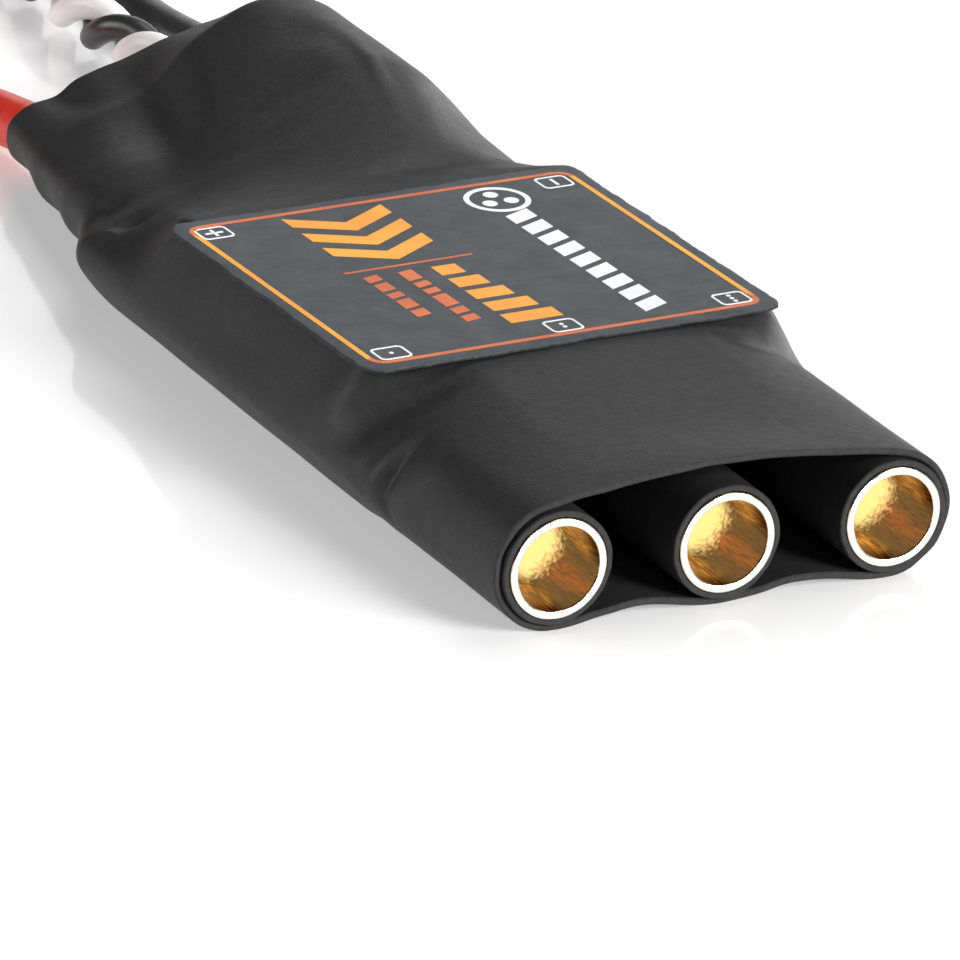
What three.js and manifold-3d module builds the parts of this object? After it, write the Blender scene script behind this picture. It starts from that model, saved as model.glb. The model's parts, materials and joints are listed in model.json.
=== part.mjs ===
// Sensorless brushless-motor speed controller for a small multirotor.
// A circuit board carries six switching transistors under a flat heat spreader plate. Three
// round motor sockets stand at its front edge. Two power leads, a signal pair and a bulk
// capacitor leave its rear edge. One heat-shrink sleeve is drawn over everything, open at
// both ends, with a printed label on top. The leads lie behind it, folded into a tied hank.
// Millimetres, +Z up, sockets facing -Y, origin under the middle of the body.

import * as THREE from 'three';
import { mergeVertices } from 'three/addons/utils/BufferGeometryUtils.js';
import Module from 'manifold-3d';

const wasm = await Module();
wasm.setup();

// ---------------------------------------------------------------- driving dimensions

const BODY_LENGTH = 52.4;
const BODY_WIDTH = 21.5;
const FRONT = -BODY_LENGTH / 2;
const REAR = BODY_LENGTH / 2;

const SLEEVE_WALL = 0.3;
const SLEEVE_TOP = 6.5;
const SLEEVE_FRONT = FRONT + 0.3;
const SLEEVE_CLEARANCE = 0.1;
const SLEEVE_SHARPNESS = 7;
const SLEEVE_SIDES = 40;
const SLEEVE_STATIONS = [
  REAR, 24.6, 23, 21.4, 20.5, 18, 15, 12.9, 11, 9.3, 7.5, 6, 4.4, 0, -4, -8, -12.5, -13.4, -14.4,
  -15.6, -18, -21, -24, SLEEVE_FRONT,
];
const SLEEVE_RISE_START = 6;
const SLEEVE_RISE_SLOPE = 0.6;

const SOCKET_PITCH = 7.4;
const SOCKET_HEIGHT = 2.68;
const SOCKET_RADIUS = 2.1;
const SOCKET_BORE_RADIUS = 1.75;
const SOCKET_BORE_DEPTH = 7.6;
const SOCKET_CUP_RADIUS = 1.6;
const SOCKET_CUP_START = FRONT + 9;
const SOCKET_BARREL_END = FRONT + 10.6;
const SOCKET_TAIL_END = FRONT + 14.4;
const SOCKET_SLEEVE_INNER = 2.14;
const SOCKET_SLEEVE_OUTER = 2.33;
const SOCKET_SIDES = 24;

const BOARD_HALF_WIDTH = 10;
const BOARD_FRONT = -15;
const BOARD_REAR = 11;
const BOARD_BOTTOM = 2.3;
const BOARD_TOP = 3.3;
const BOARD_MIDDLE = (BOARD_BOTTOM + BOARD_TOP) / 2;
const BOARD_GAP = 0.05;
const NOTCH_WIDTH = 2.2;
const NOTCH_DEPTH = 3;

const PLATE_HALF_WIDTH = 8.6;
const PLATE_FRONT = -12.3;
const PLATE_REAR = 4.2;
const PLATE_BOTTOM = 5.15;
const PLATE_TOP = 6.05;
const PAD_BOTTOM = 4.45;

const LABEL_SIZE = [19.1, 17.5];
const LABEL_CENTRE = [-0.55, -5.1];
const LABEL_TURN = THREE.MathUtils.degToRad(2);
const LABEL_THICKNESS = 0.15;
const LABEL_LIFT = 0.03;

const CAN_RADIUS = 4;
const CAN_AXIS = [3.5, 4.45];
const CAN_FRONT = 13.1;
const CAN_REAR = 21.4;
const CAN_LEAD_SPACING = 3.5;

const POWER_LEAD_RADIUS = 1.15;
const SIGNAL_WIRE_RADIUS = 0.6;
const SIGNAL_WIRE_SPREAD = 0.62;
const LEAD_SIDES = 8;

const HANK_LEFT = -9.2;
const HANK_RIGHT = 10.2;
const HANK_NEAR = 49.3;
const HANK_FAR = 92.5;
const HANK_BOTTOM = 0.45;
const HANK_TOP = 5.2;
const TIE_THICKNESS = 0.4;
const TIE_FROM = 72;
const TIE_WIDTH = 4;

const CONNECTOR_SIZE = [7.6, 14, 2.6];
const CONNECTOR_CENTRE = [-0.5, 58];
const CONNECTOR_BOTTOM = HANK_TOP + 0.3;
const CONTACT_SPACING = 2.54;

// Routes of the free leads, from the board out of the rear of the sleeve to the hank.
const RED_LEAD_ROUTE = [
  [-7.1, 11.4, 2.75], [-7.1, 13, 2.65], [-6.95, 16, 2.5], [-6.3, 19.5, 2.2], [-5.5, 22.5, 2],
  [-5.1, 26, 1.95], [-5.2, 29, 1.6], [-5.6, 32, 1.3], [-6.2, 36, 1.2], [-6.9, 40, 1.2],
  [-7.6, 44, 1.3], [-8, 49, 1.6],
];
const BLACK_LEAD_ROUTE = [
  [8.6, 11.4, 2.75], [8.65, 13, 2.6], [8.7, 16, 2.4], [8.7, 20, 2.3], [8.7, 23, 2.3],
  [8.6, 26, 2.25], [8.1, 29, 1.9], [7.4, 32, 1.45], [6.8, 35.5, 1.2], [6.3, 39.5, 1.2],
  [6.8, 43.5, 1.2], [8.4, 49, 1.5],
];
const SIGNAL_PAIR_ROUTE = [
  [-2.4, 9.6, 3.96], [-2.4, 11.2, 3.95], [-2.3, 15, 3.2], [-2.1, 18.5, 3], [-1.5, 22, 3],
  [-0.1, 25, 3], [1.5, 28, 2.9], [2.8, 31, 2.5], [3.4, 34.5, 2], [3.6, 38.5, 1.7],
  [3.8, 43, 1.5], [3.9, 49, 1.65],
];

// ---------------------------------------------------------------- colours and materials

const FINISHES = {
  heatShrink: { color: 0x1b1b1c, roughness: 0.55, metalness: 0 },
  label: { color: 0x4a4e52, roughness: 0.45, metalness: 0 },
  gold: { color: 0xd9a441, roughness: 0.22, metalness: 1 },
  aluminium: { color: 0xb9bcc0, roughness: 0.4, metalness: 1 },
  pad: { color: 0x8fa3b5, roughness: 0.9, metalness: 0 },
  board: { color: 0x14402a, roughness: 0.5, metalness: 0 },
  chip: { color: 0x202022, roughness: 0.6, metalness: 0 },
  ceramic: { color: 0xb89b76, roughness: 0.5, metalness: 0 },
  solder: { color: 0xc4c6c8, roughness: 0.3, metalness: 1 },
  capacitor: { color: 0x1d2233, roughness: 0.35, metalness: 0 },
  bung: { color: 0x141414, roughness: 0.8, metalness: 0 },
  redSilicone: { color: 0xc8201a, roughness: 0.5, metalness: 0 },
  blackSilicone: { color: 0x18181a, roughness: 0.5, metalness: 0 },
  whiteSilicone: { color: 0xe6e6e4, roughness: 0.5, metalness: 0 },
  connector: { color: 0x1a1a1b, roughness: 0.4, metalness: 0 },
  tie: { color: 0x26272a, roughness: 0.9, metalness: 0 },
};

const controller = new THREE.Group();

function addPiece(name, geometry, finish, position = [0, 0, 0]) {
  const mesh = new THREE.Mesh(geometry, new THREE.MeshStandardMaterial(FINISHES[finish]));
  mesh.name = name;
  mesh.position.set(...position);
  controller.add(mesh);
  return mesh;
}

// ---------------------------------------------------------------- shared shapes

function toSolid(geometry) {
  const plain = geometry.clone();
  plain.deleteAttribute('normal');
  plain.deleteAttribute('uv');
  const merged = mergeVertices(plain, 1e-4);
  const vertProperties = new Float32Array(merged.attributes.position.array);
  const triVerts = new Uint32Array(merged.index.array);
  return new wasm.Manifold(new wasm.Mesh({ numProp: 3, vertProperties, triVerts }));
}

function toGeometry(solid) {
  const { vertProperties, triVerts } = solid.getMesh();
  const geometry = new THREE.BufferGeometry();
  geometry.setAttribute('position', new THREE.BufferAttribute(vertProperties, 3));
  geometry.setIndex(new THREE.BufferAttribute(triVerts, 1));
  return geometry;
}

function box([width, depth, height], [x, y, z]) {
  return new THREE.BoxGeometry(width, depth, height).translate(x, y, z);
}

function roundedRectangle(left, front, right, rear, radius, rearRadius = radius) {
  const shape = new THREE.Shape();
  shape.moveTo(left + radius, front);
  shape.lineTo(right - radius, front);
  shape.absarc(right - radius, front + radius, radius, -Math.PI / 2, 0, false);
  shape.lineTo(right, rear - rearRadius);
  shape.absarc(right - rearRadius, rear - rearRadius, rearRadius, 0, Math.PI / 2, false);
  shape.lineTo(left + rearRadius, rear);
  shape.absarc(left + rearRadius, rear - rearRadius, rearRadius, Math.PI / 2, Math.PI, false);
  shape.lineTo(left, front + radius);
  shape.absarc(left + radius, front + radius, radius, Math.PI, 1.5 * Math.PI, false);
  return shape;
}

function plate(outline, bottom, top, curveSegments = 4) {
  const options = { depth: top - bottom, bevelEnabled: false, curveSegments };
  return new THREE.ExtrudeGeometry(outline, options).translate(0, 0, bottom);
}

// A solid of revolution about an axis along Y; the profile holds [radius, y] pairs.
function turned(profile, sides) {
  const points = profile.map(([radius, y]) => new THREE.Vector2(radius, y));
  return new THREE.LatheGeometry(points, sides);
}

function tubeAlong(points, radius, steps) {
  const route = new THREE.CatmullRomCurve3(points, false, 'centripetal');
  const section = new THREE.Shape();
  for (let side = 0; side < LEAD_SIDES; side += 1) {
    const angle = (2 * Math.PI * side) / LEAD_SIDES;
    const corner = [radius * Math.cos(angle), radius * Math.sin(angle)];
    if (side === 0) section.moveTo(...corner);
    else section.lineTo(...corner);
  }
  section.closePath();
  return new THREE.ExtrudeGeometry(section, { steps, extrudePath: route, bevelEnabled: false });
}

// ---------------------------------------------------------------- heat-shrink sleeve

// What the sleeve is drawn over, as discs in the cross-section: the disc's centre and outer
// radius, the stretch of Y it fills, and how steeply the sleeve falls away before and after.
function formers() {
  const list = [];
  const add = (x, z, radius, from, to, before, after) => {
    list.push({ x, z, radius, from, to, before, after });
  };
  const skin = SLEEVE_WALL + SLEEVE_CLEARANCE;
  const topEdge = SLEEVE_TOP - 0.8;
  for (const x of [-SOCKET_PITCH, 0, SOCKET_PITCH]) {
    add(x, SOCKET_HEIGHT, SOCKET_HEIGHT, FRONT, SOCKET_BARREL_END, 0.2, 0.2);
  }
  for (const side of [-1, 1]) {
    add(side * (BODY_WIDTH / 2 - 1), 2.8, 1, BOARD_FRONT, BOARD_REAR, 0.2, 0.35);
    add(side * 8.3, 0.8, 0.8, BOARD_FRONT + 2, BOARD_REAR, 0.1, 0.3);
    add(side * PLATE_HALF_WIDTH, topEdge, 0.8, PLATE_FRONT - 0.2, PLATE_REAR + 0.2, 0.9, 0.5);
    add(side * 5, topEdge, 0.8, PLATE_FRONT - 0.2, PLATE_REAR + 0.2, 0.085, 0.3);
  }
  add(...CAN_AXIS, CAN_RADIUS + skin, CAN_FRONT - 0.2, CAN_REAR, 0.3, 0.56);
  add(-7.1, 2.7, POWER_LEAD_RADIUS + skin, BOARD_REAR, 15, 0.3, 0.2);
  add(-7, 2.4, POWER_LEAD_RADIUS + skin, BOARD_REAR, 18, 0.3, 0.2);
  add(-6, 2.05, POWER_LEAD_RADIUS + skin, 18, 21.4, 0.3, 0.2);
  add(-5.1, 1.95, POWER_LEAD_RADIUS + skin, 12.9, REAR, 0.3, 0);
  add(8.7, 2.7, POWER_LEAD_RADIUS + skin, BOARD_REAR, 15, 0.3, 0.2);
  add(8.7, 2.3, POWER_LEAD_RADIUS + skin, BOARD_REAR, REAR, 0.3, 0);
  add(-2.2, 3, 2 * SIGNAL_WIRE_RADIUS + skin, 9.3, REAR, 0.3, 0);
  return list;
}

const FORMERS = formers();

// The sleeve's highest possible point: flat under the label, then free to rise to the can.
function sleeveCeiling(y) {
  return SLEEVE_TOP + SLEEVE_RISE_SLOPE * Math.max(0, y - SLEEVE_RISE_START);
}

// A point of the sleeve's surface at one station, found from the smoothed support of the discs.
function sleevePoint(angle, y, inset) {
  const across = Math.cos(angle);
  const up = Math.sin(angle);
  let total = 0;
  let swing = 0;
  for (const disc of FORMERS) {
    const fall = disc.before * Math.max(0, disc.from - y) + disc.after * Math.max(0, y - disc.to);
    const reach = disc.x * across + disc.z * up + disc.radius - fall;
    const weight = Math.exp(SLEEVE_SHARPNESS * reach);
    total += weight;
    swing += weight * (disc.z * across - disc.x * up);
  }
  const support = Math.log(total) / SLEEVE_SHARPNESS - inset;
  const turn = swing / total;
  const z = support * up + turn * across;
  const x = support * across - turn * up;
  return [x, Math.min(Math.max(z, inset), sleeveCeiling(y) - inset)];
}

function heatShrinkSleeve() {
  const ring = new THREE.Shape();
  ring.absarc(0, 0, 2, 0, 2 * Math.PI, false);
  const bore = new THREE.Path();
  bore.absarc(0, 0, 1, 0, 2 * Math.PI, true);
  ring.holes.push(bore);
  const steps = SLEEVE_STATIONS.length - 1;
  const options = { depth: steps, steps, bevelEnabled: false, curveSegments: SLEEVE_SIDES / 2 };
  const shell = new THREE.ExtrudeGeometry(ring, options);
  const position = shell.attributes.position;
  for (let index = 0; index < position.count; index += 1) {
    const angle = Math.atan2(position.getY(index), position.getX(index));
    const isInner = Math.hypot(position.getX(index), position.getY(index)) < 1.5;
    const y = SLEEVE_STATIONS[Math.round(position.getZ(index))];
    const [x, z] = sleevePoint(angle, y, isInner ? SLEEVE_WALL : 0);
    position.setXYZ(index, x, y, z);
  }
  return shell;
}

addPiece('heat_shrink_sleeve', heatShrinkSleeve(), 'heatShrink');

// ---------------------------------------------------------------- label

function label() {
  const [width, depth] = LABEL_SIZE;
  const outline = roundedRectangle(-width / 2, -depth / 2, width / 2, depth / 2, 1);
  return plate(outline, 0, LABEL_THICKNESS);
}

addPiece('top_label', label(), 'label', [...LABEL_CENTRE, SLEEVE_TOP + LABEL_LIFT])
  .rotation.z = LABEL_TURN;

// ---------------------------------------------------------------- motor sockets

// A gold-plated barrel with a blind bore at the front and a half-open cup behind it, whose
// upper half lies on the board.
function motorSocket() {
  const boreEnd = FRONT + SOCKET_BORE_DEPTH;
  const barrel = turned([
    [0, boreEnd + 0.3],
    [SOCKET_BORE_RADIUS, boreEnd],
    [SOCKET_BORE_RADIUS, FRONT + 0.15],
    [SOCKET_BORE_RADIUS + 0.1, FRONT],
    [SOCKET_RADIUS - 0.05, FRONT],
    [SOCKET_RADIUS, FRONT + 0.1],
    [SOCKET_RADIUS, SOCKET_TAIL_END],
    [SOCKET_CUP_RADIUS, SOCKET_TAIL_END],
    [SOCKET_CUP_RADIUS, SOCKET_CUP_START],
    [0, SOCKET_CUP_START],
  ], SOCKET_SIDES);
  const cutLength = SOCKET_TAIL_END - SOCKET_BARREL_END + 1;
  const cutTop = BOARD_TOP + BOARD_GAP - SOCKET_HEIGHT;
  const cutMiddle = [0, SOCKET_BARREL_END + cutLength / 2, cutTop - 2.5];
  return toGeometry(toSolid(barrel).subtract(toSolid(box([5, cutLength, 5], cutMiddle))));
}

function socketSleeve() {
  const front = FRONT + 0.15;
  const rear = SOCKET_BARREL_END;
  return turned([
    [SOCKET_SLEEVE_INNER, front],
    [SOCKET_SLEEVE_OUTER, front],
    [SOCKET_SLEEVE_OUTER, rear],
    [SOCKET_SLEEVE_INNER, rear],
    [SOCKET_SLEEVE_INNER, front],
  ], SOCKET_SIDES);
}

['a', 'b', 'c'].forEach((letter, index) => {
  const place = [(index - 1) * SOCKET_PITCH, 0, SOCKET_HEIGHT];
  addPiece(`motor_socket_${letter}`, motorSocket(), 'gold', place);
  addPiece(`socket_sleeve_${letter}`, socketSleeve(), 'heatShrink', place);
});

// ---------------------------------------------------------------- board, plate and pad

// The board, with a notch in its rear edge for each power lead's end.
function powerBoard() {
  const outline = roundedRectangle(
    -BOARD_HALF_WIDTH, BOARD_FRONT, BOARD_HALF_WIDTH, BOARD_REAR, 0.6,
  );
  let board = toSolid(plate(outline, BOARD_BOTTOM, BOARD_TOP));
  for (const [x] of [RED_LEAD_ROUTE[0], BLACK_LEAD_ROUTE[0]]) {
    const place = [x, BOARD_REAR, BOARD_MIDDLE];
    board = board.subtract(toSolid(box([NOTCH_WIDTH, 2 * NOTCH_DEPTH, 2], place)));
  }
  return toGeometry(board);
}

addPiece('power_board', powerBoard(), 'board');

const plateOutline = roundedRectangle(
  -PLATE_HALF_WIDTH, PLATE_FRONT, PLATE_HALF_WIDTH, PLATE_REAR, 1,
);
addPiece('heat_spreader_plate', plate(plateOutline, PLATE_BOTTOM, PLATE_TOP), 'aluminium');

const padOutline = roundedRectangle(-8.5, -10, 8.5, 3.4, 0.4);
addPiece('thermal_pad', plate(padOutline, PAD_BOTTOM, PLATE_BOTTOM - 0.05), 'pad');

// ---------------------------------------------------------------- chips

// A chip body with flat leads along its two long sides, standing on z = 0.
function leadedChip([width, depth, height], leadsPerSide, leadPitch, leadReach) {
  let solid = toSolid(box([width, depth, height], [0, 0, height / 2 + 0.05]));
  for (const side of [-1, 1]) {
    for (let lead = 0; lead < leadsPerSide; lead += 1) {
      const x = (lead - (leadsPerSide - 1) / 2) * leadPitch;
      const y = side * (depth / 2 + leadReach / 2 - 0.1);
      solid = solid.add(toSolid(box([0.4, leadReach + 0.2, 0.25], [x, y, 0.125])));
    }
  }
  return toGeometry(solid);
}

function onBoardTop(geometry) {
  return geometry.translate(0, 0, BOARD_TOP + BOARD_GAP);
}

function underBoard(geometry) {
  return geometry.rotateY(Math.PI).translate(0, 0, BOARD_BOTTOM - BOARD_GAP);
}

const MOSFET_COLUMNS = [-6.2, 0, 6.2];
const MOSFET_ROWS = [-6.6, -0.2];
MOSFET_ROWS.forEach((y, row) => {
  MOSFET_COLUMNS.forEach((x, column) => {
    const chip = onBoardTop(leadedChip([4.9, 5.2, 0.95], 4, 1.27, 0.3));
    addPiece(`mosfet_${row * MOSFET_COLUMNS.length + column + 1}`, chip, 'chip', [x, y, 0]);
  });
});

MOSFET_COLUMNS.forEach((x, column) => {
  const chip = underBoard(leadedChip([4.4, 3.2, 1.2], 4, 1.1, 0.6));
  addPiece(`gate_driver_${column + 1}`, chip, 'chip', [x, -6.8, 0]);
});

const microcontroller = underBoard(leadedChip([5, 4.6, 0.85], 7, 0.65, 0.2));
addPiece('microcontroller', microcontroller, 'chip', [0, 1.6, 0]);
const voltageRegulator = underBoard(leadedChip([4.5, 2.4, 1.4], 3, 1.5, 0.6));
addPiece('voltage_regulator', voltageRegulator, 'chip', [6.1, 2, 0]);

// A small block part whose metal ends are slightly taller than its middle.
function blockPart([width, depth, height], capLength) {
  let solid = toSolid(box([width - 0.1, depth - 0.1, height - 0.1], [0, 0, height / 2]));
  for (const side of [-1, 1]) {
    const middle = [side * (width - capLength) / 2, 0, height / 2];
    solid = solid.add(toSolid(box([capLength, depth, height], middle)));
  }
  return toGeometry(solid);
}

const ceramicResonator = underBoard(blockPart([3.2, 1.3, 1], 0.4));
addPiece('ceramic_resonator', ceramicResonator, 'ceramic', [-5.4, 1.2, 0]);
const currentShunt = underBoard(blockPart([6.3, 3.1, 0.6], 0.9));
addPiece('current_shunt', currentShunt, 'chip', [2.4, 7.2, 0]);

const BYPASS_CAPACITORS_BELOW = [[-6.2, -10.9], [0, -10.9], [6.2, -10.9], [-5.6, 4.6]];
const BYPASS_CAPACITORS_ABOVE = [[-0.4, 5.9], [3.6, 5.9]];
const bypassCapacitor = () => blockPart([3.2, 1.6, 1.4], 0.5);
BYPASS_CAPACITORS_BELOW.forEach(([x, y], index) => {
  addPiece(`bypass_capacitor_${index + 1}`, underBoard(bypassCapacitor()), 'ceramic', [x, y, 0]);
});
BYPASS_CAPACITORS_ABOVE.forEach(([x, y], index) => {
  const number = BYPASS_CAPACITORS_BELOW.length + index + 1;
  addPiece(`bypass_capacitor_${number}`, onBoardTop(bypassCapacitor()), 'ceramic', [x, y, 0]);
});

// ---------------------------------------------------------------- bulk capacitor

const [CAN_X, CAN_Z] = CAN_AXIS;

function capacitorCan() {
  return turned([
    [0, CAN_FRONT],
    [CAN_RADIUS - 0.4, CAN_FRONT],
    [CAN_RADIUS, CAN_FRONT + 0.4],
    [CAN_RADIUS, CAN_FRONT + 1.2],
    [CAN_RADIUS - 0.4, CAN_FRONT + 1.6],
    [CAN_RADIUS, CAN_FRONT + 2],
    [CAN_RADIUS, CAN_REAR - 0.5],
    [CAN_RADIUS - 0.5, CAN_REAR],
    [0, CAN_REAR],
  ], SOCKET_SIDES);
}

addPiece('bulk_capacitor', capacitorCan(), 'capacitor', [CAN_X, 0, CAN_Z]);

const bung = new THREE.CylinderGeometry(3, 3, 0.3, SOCKET_SIDES);
addPiece('capacitor_bung', bung, 'bung', [CAN_X, CAN_FRONT - 0.2, CAN_Z]);

['positive', 'negative'].forEach((name, index) => {
  const x = CAN_X + (index - 0.5) * CAN_LEAD_SPACING;
  const bend = [
    [x, CAN_FRONT - 0.4, CAN_Z], [x, 11.8, CAN_Z - 0.1], [x, 10.6, 4], [x, 9.6, 3.75], [x, 8.2, 3.7],
  ];
  const wire = tubeAlong(bend.map((point) => new THREE.Vector3(...point)), 0.3, 8);
  addPiece(`capacitor_lead_${name}`, wire, 'solder');
});

// ---------------------------------------------------------------- solder joints

// A bead of solder round a power lead's bare end, filling the notch in the board.
function notchBead() {
  const width = NOTCH_WIDTH - 0.1;
  const depth = NOTCH_DEPTH - 0.1;
  return new THREE.SphereGeometry(1, 16, 10).scale(width / 2, depth / 2, 0.95);
}

// A low dome of solder lying on the board, longer than it is wide.
function solderDome(width, depth, height) {
  const dome = new THREE.SphereGeometry(1, 14, 8).scale(width / 2, depth / 2, height);
  const below = box([2 * width, 2 * depth, 2 * height], [0, 0, -height]);
  return onBoardTop(toGeometry(toSolid(dome).subtract(toSolid(below))));
}

const beadPlace = ([x]) => [x, BOARD_REAR - NOTCH_DEPTH / 2 + 0.1, BOARD_MIDDLE];
addPiece('solder_joint_positive', notchBead(), 'solder', beadPlace(RED_LEAD_ROUTE[0]));
addPiece('solder_joint_negative', notchBead(), 'solder', beadPlace(BLACK_LEAD_ROUTE[0]));
addPiece('solder_joint_signal', solderDome(1.1, 1.8, 0.9), 'solder', [-3.05, 8.5, 0]);
addPiece('solder_joint_ground', solderDome(1.1, 1.8, 0.9), 'solder', [-1.75, 8.5, 0]);

// ---------------------------------------------------------------- leads

// The route's points, each moved sideways from the route by the same step.
function besideRoute(route, step) {
  return route.map(([x, y, z], index) => {
    const before = route[Math.max(index - 1, 0)];
    const after = route[Math.min(index + 1, route.length - 1)];
    const heading = Math.atan2(after[0] - before[0], after[1] - before[1]);
    return new THREE.Vector3(x + step * Math.cos(heading), y - step * Math.sin(heading), z);
  });
}

const powerLead = (route) => tubeAlong(besideRoute(route, 0), POWER_LEAD_RADIUS, 14);
const signalWire = (step) => tubeAlong(besideRoute(SIGNAL_PAIR_ROUTE, step), SIGNAL_WIRE_RADIUS, 18);

addPiece('power_lead_red', powerLead(RED_LEAD_ROUTE), 'redSilicone');
addPiece('power_lead_black', powerLead(BLACK_LEAD_ROUTE), 'blackSilicone');
addPiece('signal_wire_white', signalWire(-SIGNAL_WIRE_SPREAD), 'whiteSilicone');
addPiece('signal_wire_black', signalWire(SIGNAL_WIRE_SPREAD), 'blackSilicone');

const hankOutline = roundedRectangle(HANK_LEFT, HANK_NEAR, HANK_RIGHT, HANK_FAR, 1, 8.4);
addPiece('lead_hank', plate(hankOutline, HANK_BOTTOM, HANK_TOP, 6), 'blackSilicone');

// A strap round the hank, drawn as a closed loop in the cross-section.
function hankTie() {
  const gap = 0.1;
  const reach = gap + TIE_THICKNESS;
  const outline = roundedRectangle(HANK_LEFT - reach, 0, HANK_RIGHT + reach, HANK_TOP + reach, 1.5);
  const inside = roundedRectangle(
    HANK_LEFT - gap, HANK_BOTTOM - 0.05, HANK_RIGHT + gap, HANK_TOP + gap, 0.2,
  );
  const hole = new THREE.Path(inside.getPoints(3).reverse());
  outline.holes.push(hole);
  return plate(outline, 0, TIE_WIDTH).rotateX(Math.PI / 2).translate(0, TIE_FROM + TIE_WIDTH, 0);
}

addPiece('hank_tie', hankTie(), 'tie');

// ---------------------------------------------------------------- signal connector

const [CONNECTOR_WIDTH, CONNECTOR_LENGTH, CONNECTOR_HEIGHT] = CONNECTOR_SIZE;

// A three-way housing with a through cavity for each contact and a key rib on one edge.
function connectorHousing() {
  let solid = toSolid(box(CONNECTOR_SIZE, [0, 0, 0]));
  for (const side of [-1, 0, 1]) {
    const cavity = [1.7, CONNECTOR_LENGTH + 1, 1.7];
    solid = solid.subtract(toSolid(box(cavity, [side * CONTACT_SPACING, 0, 0])));
  }
  return toGeometry(solid);
}

function contact() {
  const outer = toSolid(box([1.3, 10, 1.3], [0, 0, 0]));
  return toGeometry(outer.subtract(toSolid(box([0.8, 7, 0.8], [0, -2, 0]))));
}

const connectorPlace = [...CONNECTOR_CENTRE, CONNECTOR_BOTTOM + CONNECTOR_HEIGHT / 2];
addPiece('signal_connector', connectorHousing(), 'connector', connectorPlace);
addPiece('signal_contact', contact(), 'gold', [
  CONNECTOR_CENTRE[0] - CONTACT_SPACING, CONNECTOR_CENTRE[1] - 1, connectorPlace[2],
]);
addPiece('ground_contact', contact(), 'gold', [
  CONNECTOR_CENTRE[0] + CONTACT_SPACING, CONNECTOR_CENTRE[1] - 1, connectorPlace[2],
]);

export default controller;
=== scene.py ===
"""A small brushless-motor speed controller in its heat-shrink sleeve, finished around its frame."""
import json
import math

import bpy
import numpy as np
from mathutils import Matrix, Vector


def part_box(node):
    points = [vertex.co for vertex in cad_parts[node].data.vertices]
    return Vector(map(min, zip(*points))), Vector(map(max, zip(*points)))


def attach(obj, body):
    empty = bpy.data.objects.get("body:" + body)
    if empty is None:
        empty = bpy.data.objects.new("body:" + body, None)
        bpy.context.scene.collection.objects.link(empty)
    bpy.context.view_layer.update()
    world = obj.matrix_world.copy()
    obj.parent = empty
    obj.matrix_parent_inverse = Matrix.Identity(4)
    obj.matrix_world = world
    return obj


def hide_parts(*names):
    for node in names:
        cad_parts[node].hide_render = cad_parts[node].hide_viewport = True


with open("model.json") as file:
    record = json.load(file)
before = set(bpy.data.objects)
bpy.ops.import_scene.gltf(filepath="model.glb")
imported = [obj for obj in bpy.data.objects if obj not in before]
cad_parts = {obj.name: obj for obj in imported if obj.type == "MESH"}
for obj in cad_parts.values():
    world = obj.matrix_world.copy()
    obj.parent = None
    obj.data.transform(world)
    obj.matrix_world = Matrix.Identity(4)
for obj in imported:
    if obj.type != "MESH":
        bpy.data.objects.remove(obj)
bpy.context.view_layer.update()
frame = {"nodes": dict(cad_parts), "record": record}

MM = 0.001
SCENE = bpy.context.scene

# ---------- driving dimensions, in mm

sleeve_low, sleeve_high = (np.array(corner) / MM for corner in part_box("heat_shrink_sleeve"))
socket_low, socket_high = (np.array(corner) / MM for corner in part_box("motor_socket_b"))
right_low, right_high = (np.array(corner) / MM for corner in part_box("motor_socket_c"))
label_low, label_high = (np.array(corner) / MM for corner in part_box("top_label"))
can_low, can_high = (np.array(corner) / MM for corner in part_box("bulk_capacitor"))
connector_low, connector_high = (np.array(corner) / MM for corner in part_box("signal_connector"))
tie_low, tie_high = (np.array(corner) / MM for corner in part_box("hank_tie"))

FRONT = socket_low[1]
REAR = sleeve_high[1]
HALF_WIDTH = sleeve_high[0]

SLEEVE_WALL = 0.3
SLEEVE_FRONT = sleeve_low[1]
SLEEVE_TOP = 6.5
SLEEVE_SHARPNESS = 7.0
SLEEVE_RISE_START = 6.0
SLEEVE_RISE_SLOPE = 0.6

SOCKET_PITCH = (right_low[0] + right_high[0]) / 2
SOCKET_HEIGHT = (socket_low[2] + right_high[2]) / 2
SOCKET_RADIUS = 2.1
SOCKET_BORE = 1.75
BORE_END = FRONT + 7.6
# The bore wall carries painted light. BORE_PAINTED_GLOW_START is where its painted glow grows
# strong, and BORE_SPECKLED is how far the speckled change reaches. BORE_PAINTED_HIGHLIGHT_FACING is
# the wall facing that glows as a painted highlight, with painted shade to either side.
BORE_PAINTED_GLOW_START = FRONT + 3.2
BORE_SPECKLED = 1.3
BORE_PAINTED_HIGHLIGHT_FACING = (-0.77, 0, 0.64)
CUP_START = FRONT + 9
CUP_RADIUS = 1.6
BARREL_END = FRONT + 10.6
TAIL_END = socket_high[1]
SOCKET_SLEEVE_RADII = (2.12, 2.36)

LABEL_HALF = (9.55, 8.75)
LABEL_CENTRE = ((label_low + label_high) / 2)[:2]
LABEL_TURN = math.radians(2)
LABEL_BOTTOM, LABEL_FACE = label_low[2], label_high[2]

POWER_LEAD_RADIUS = 1.15
SIGNAL_WIRE_RADIUS = 0.6
PAIR_RADIUS = 0.62
TWIST_PITCH = 7.0

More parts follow.
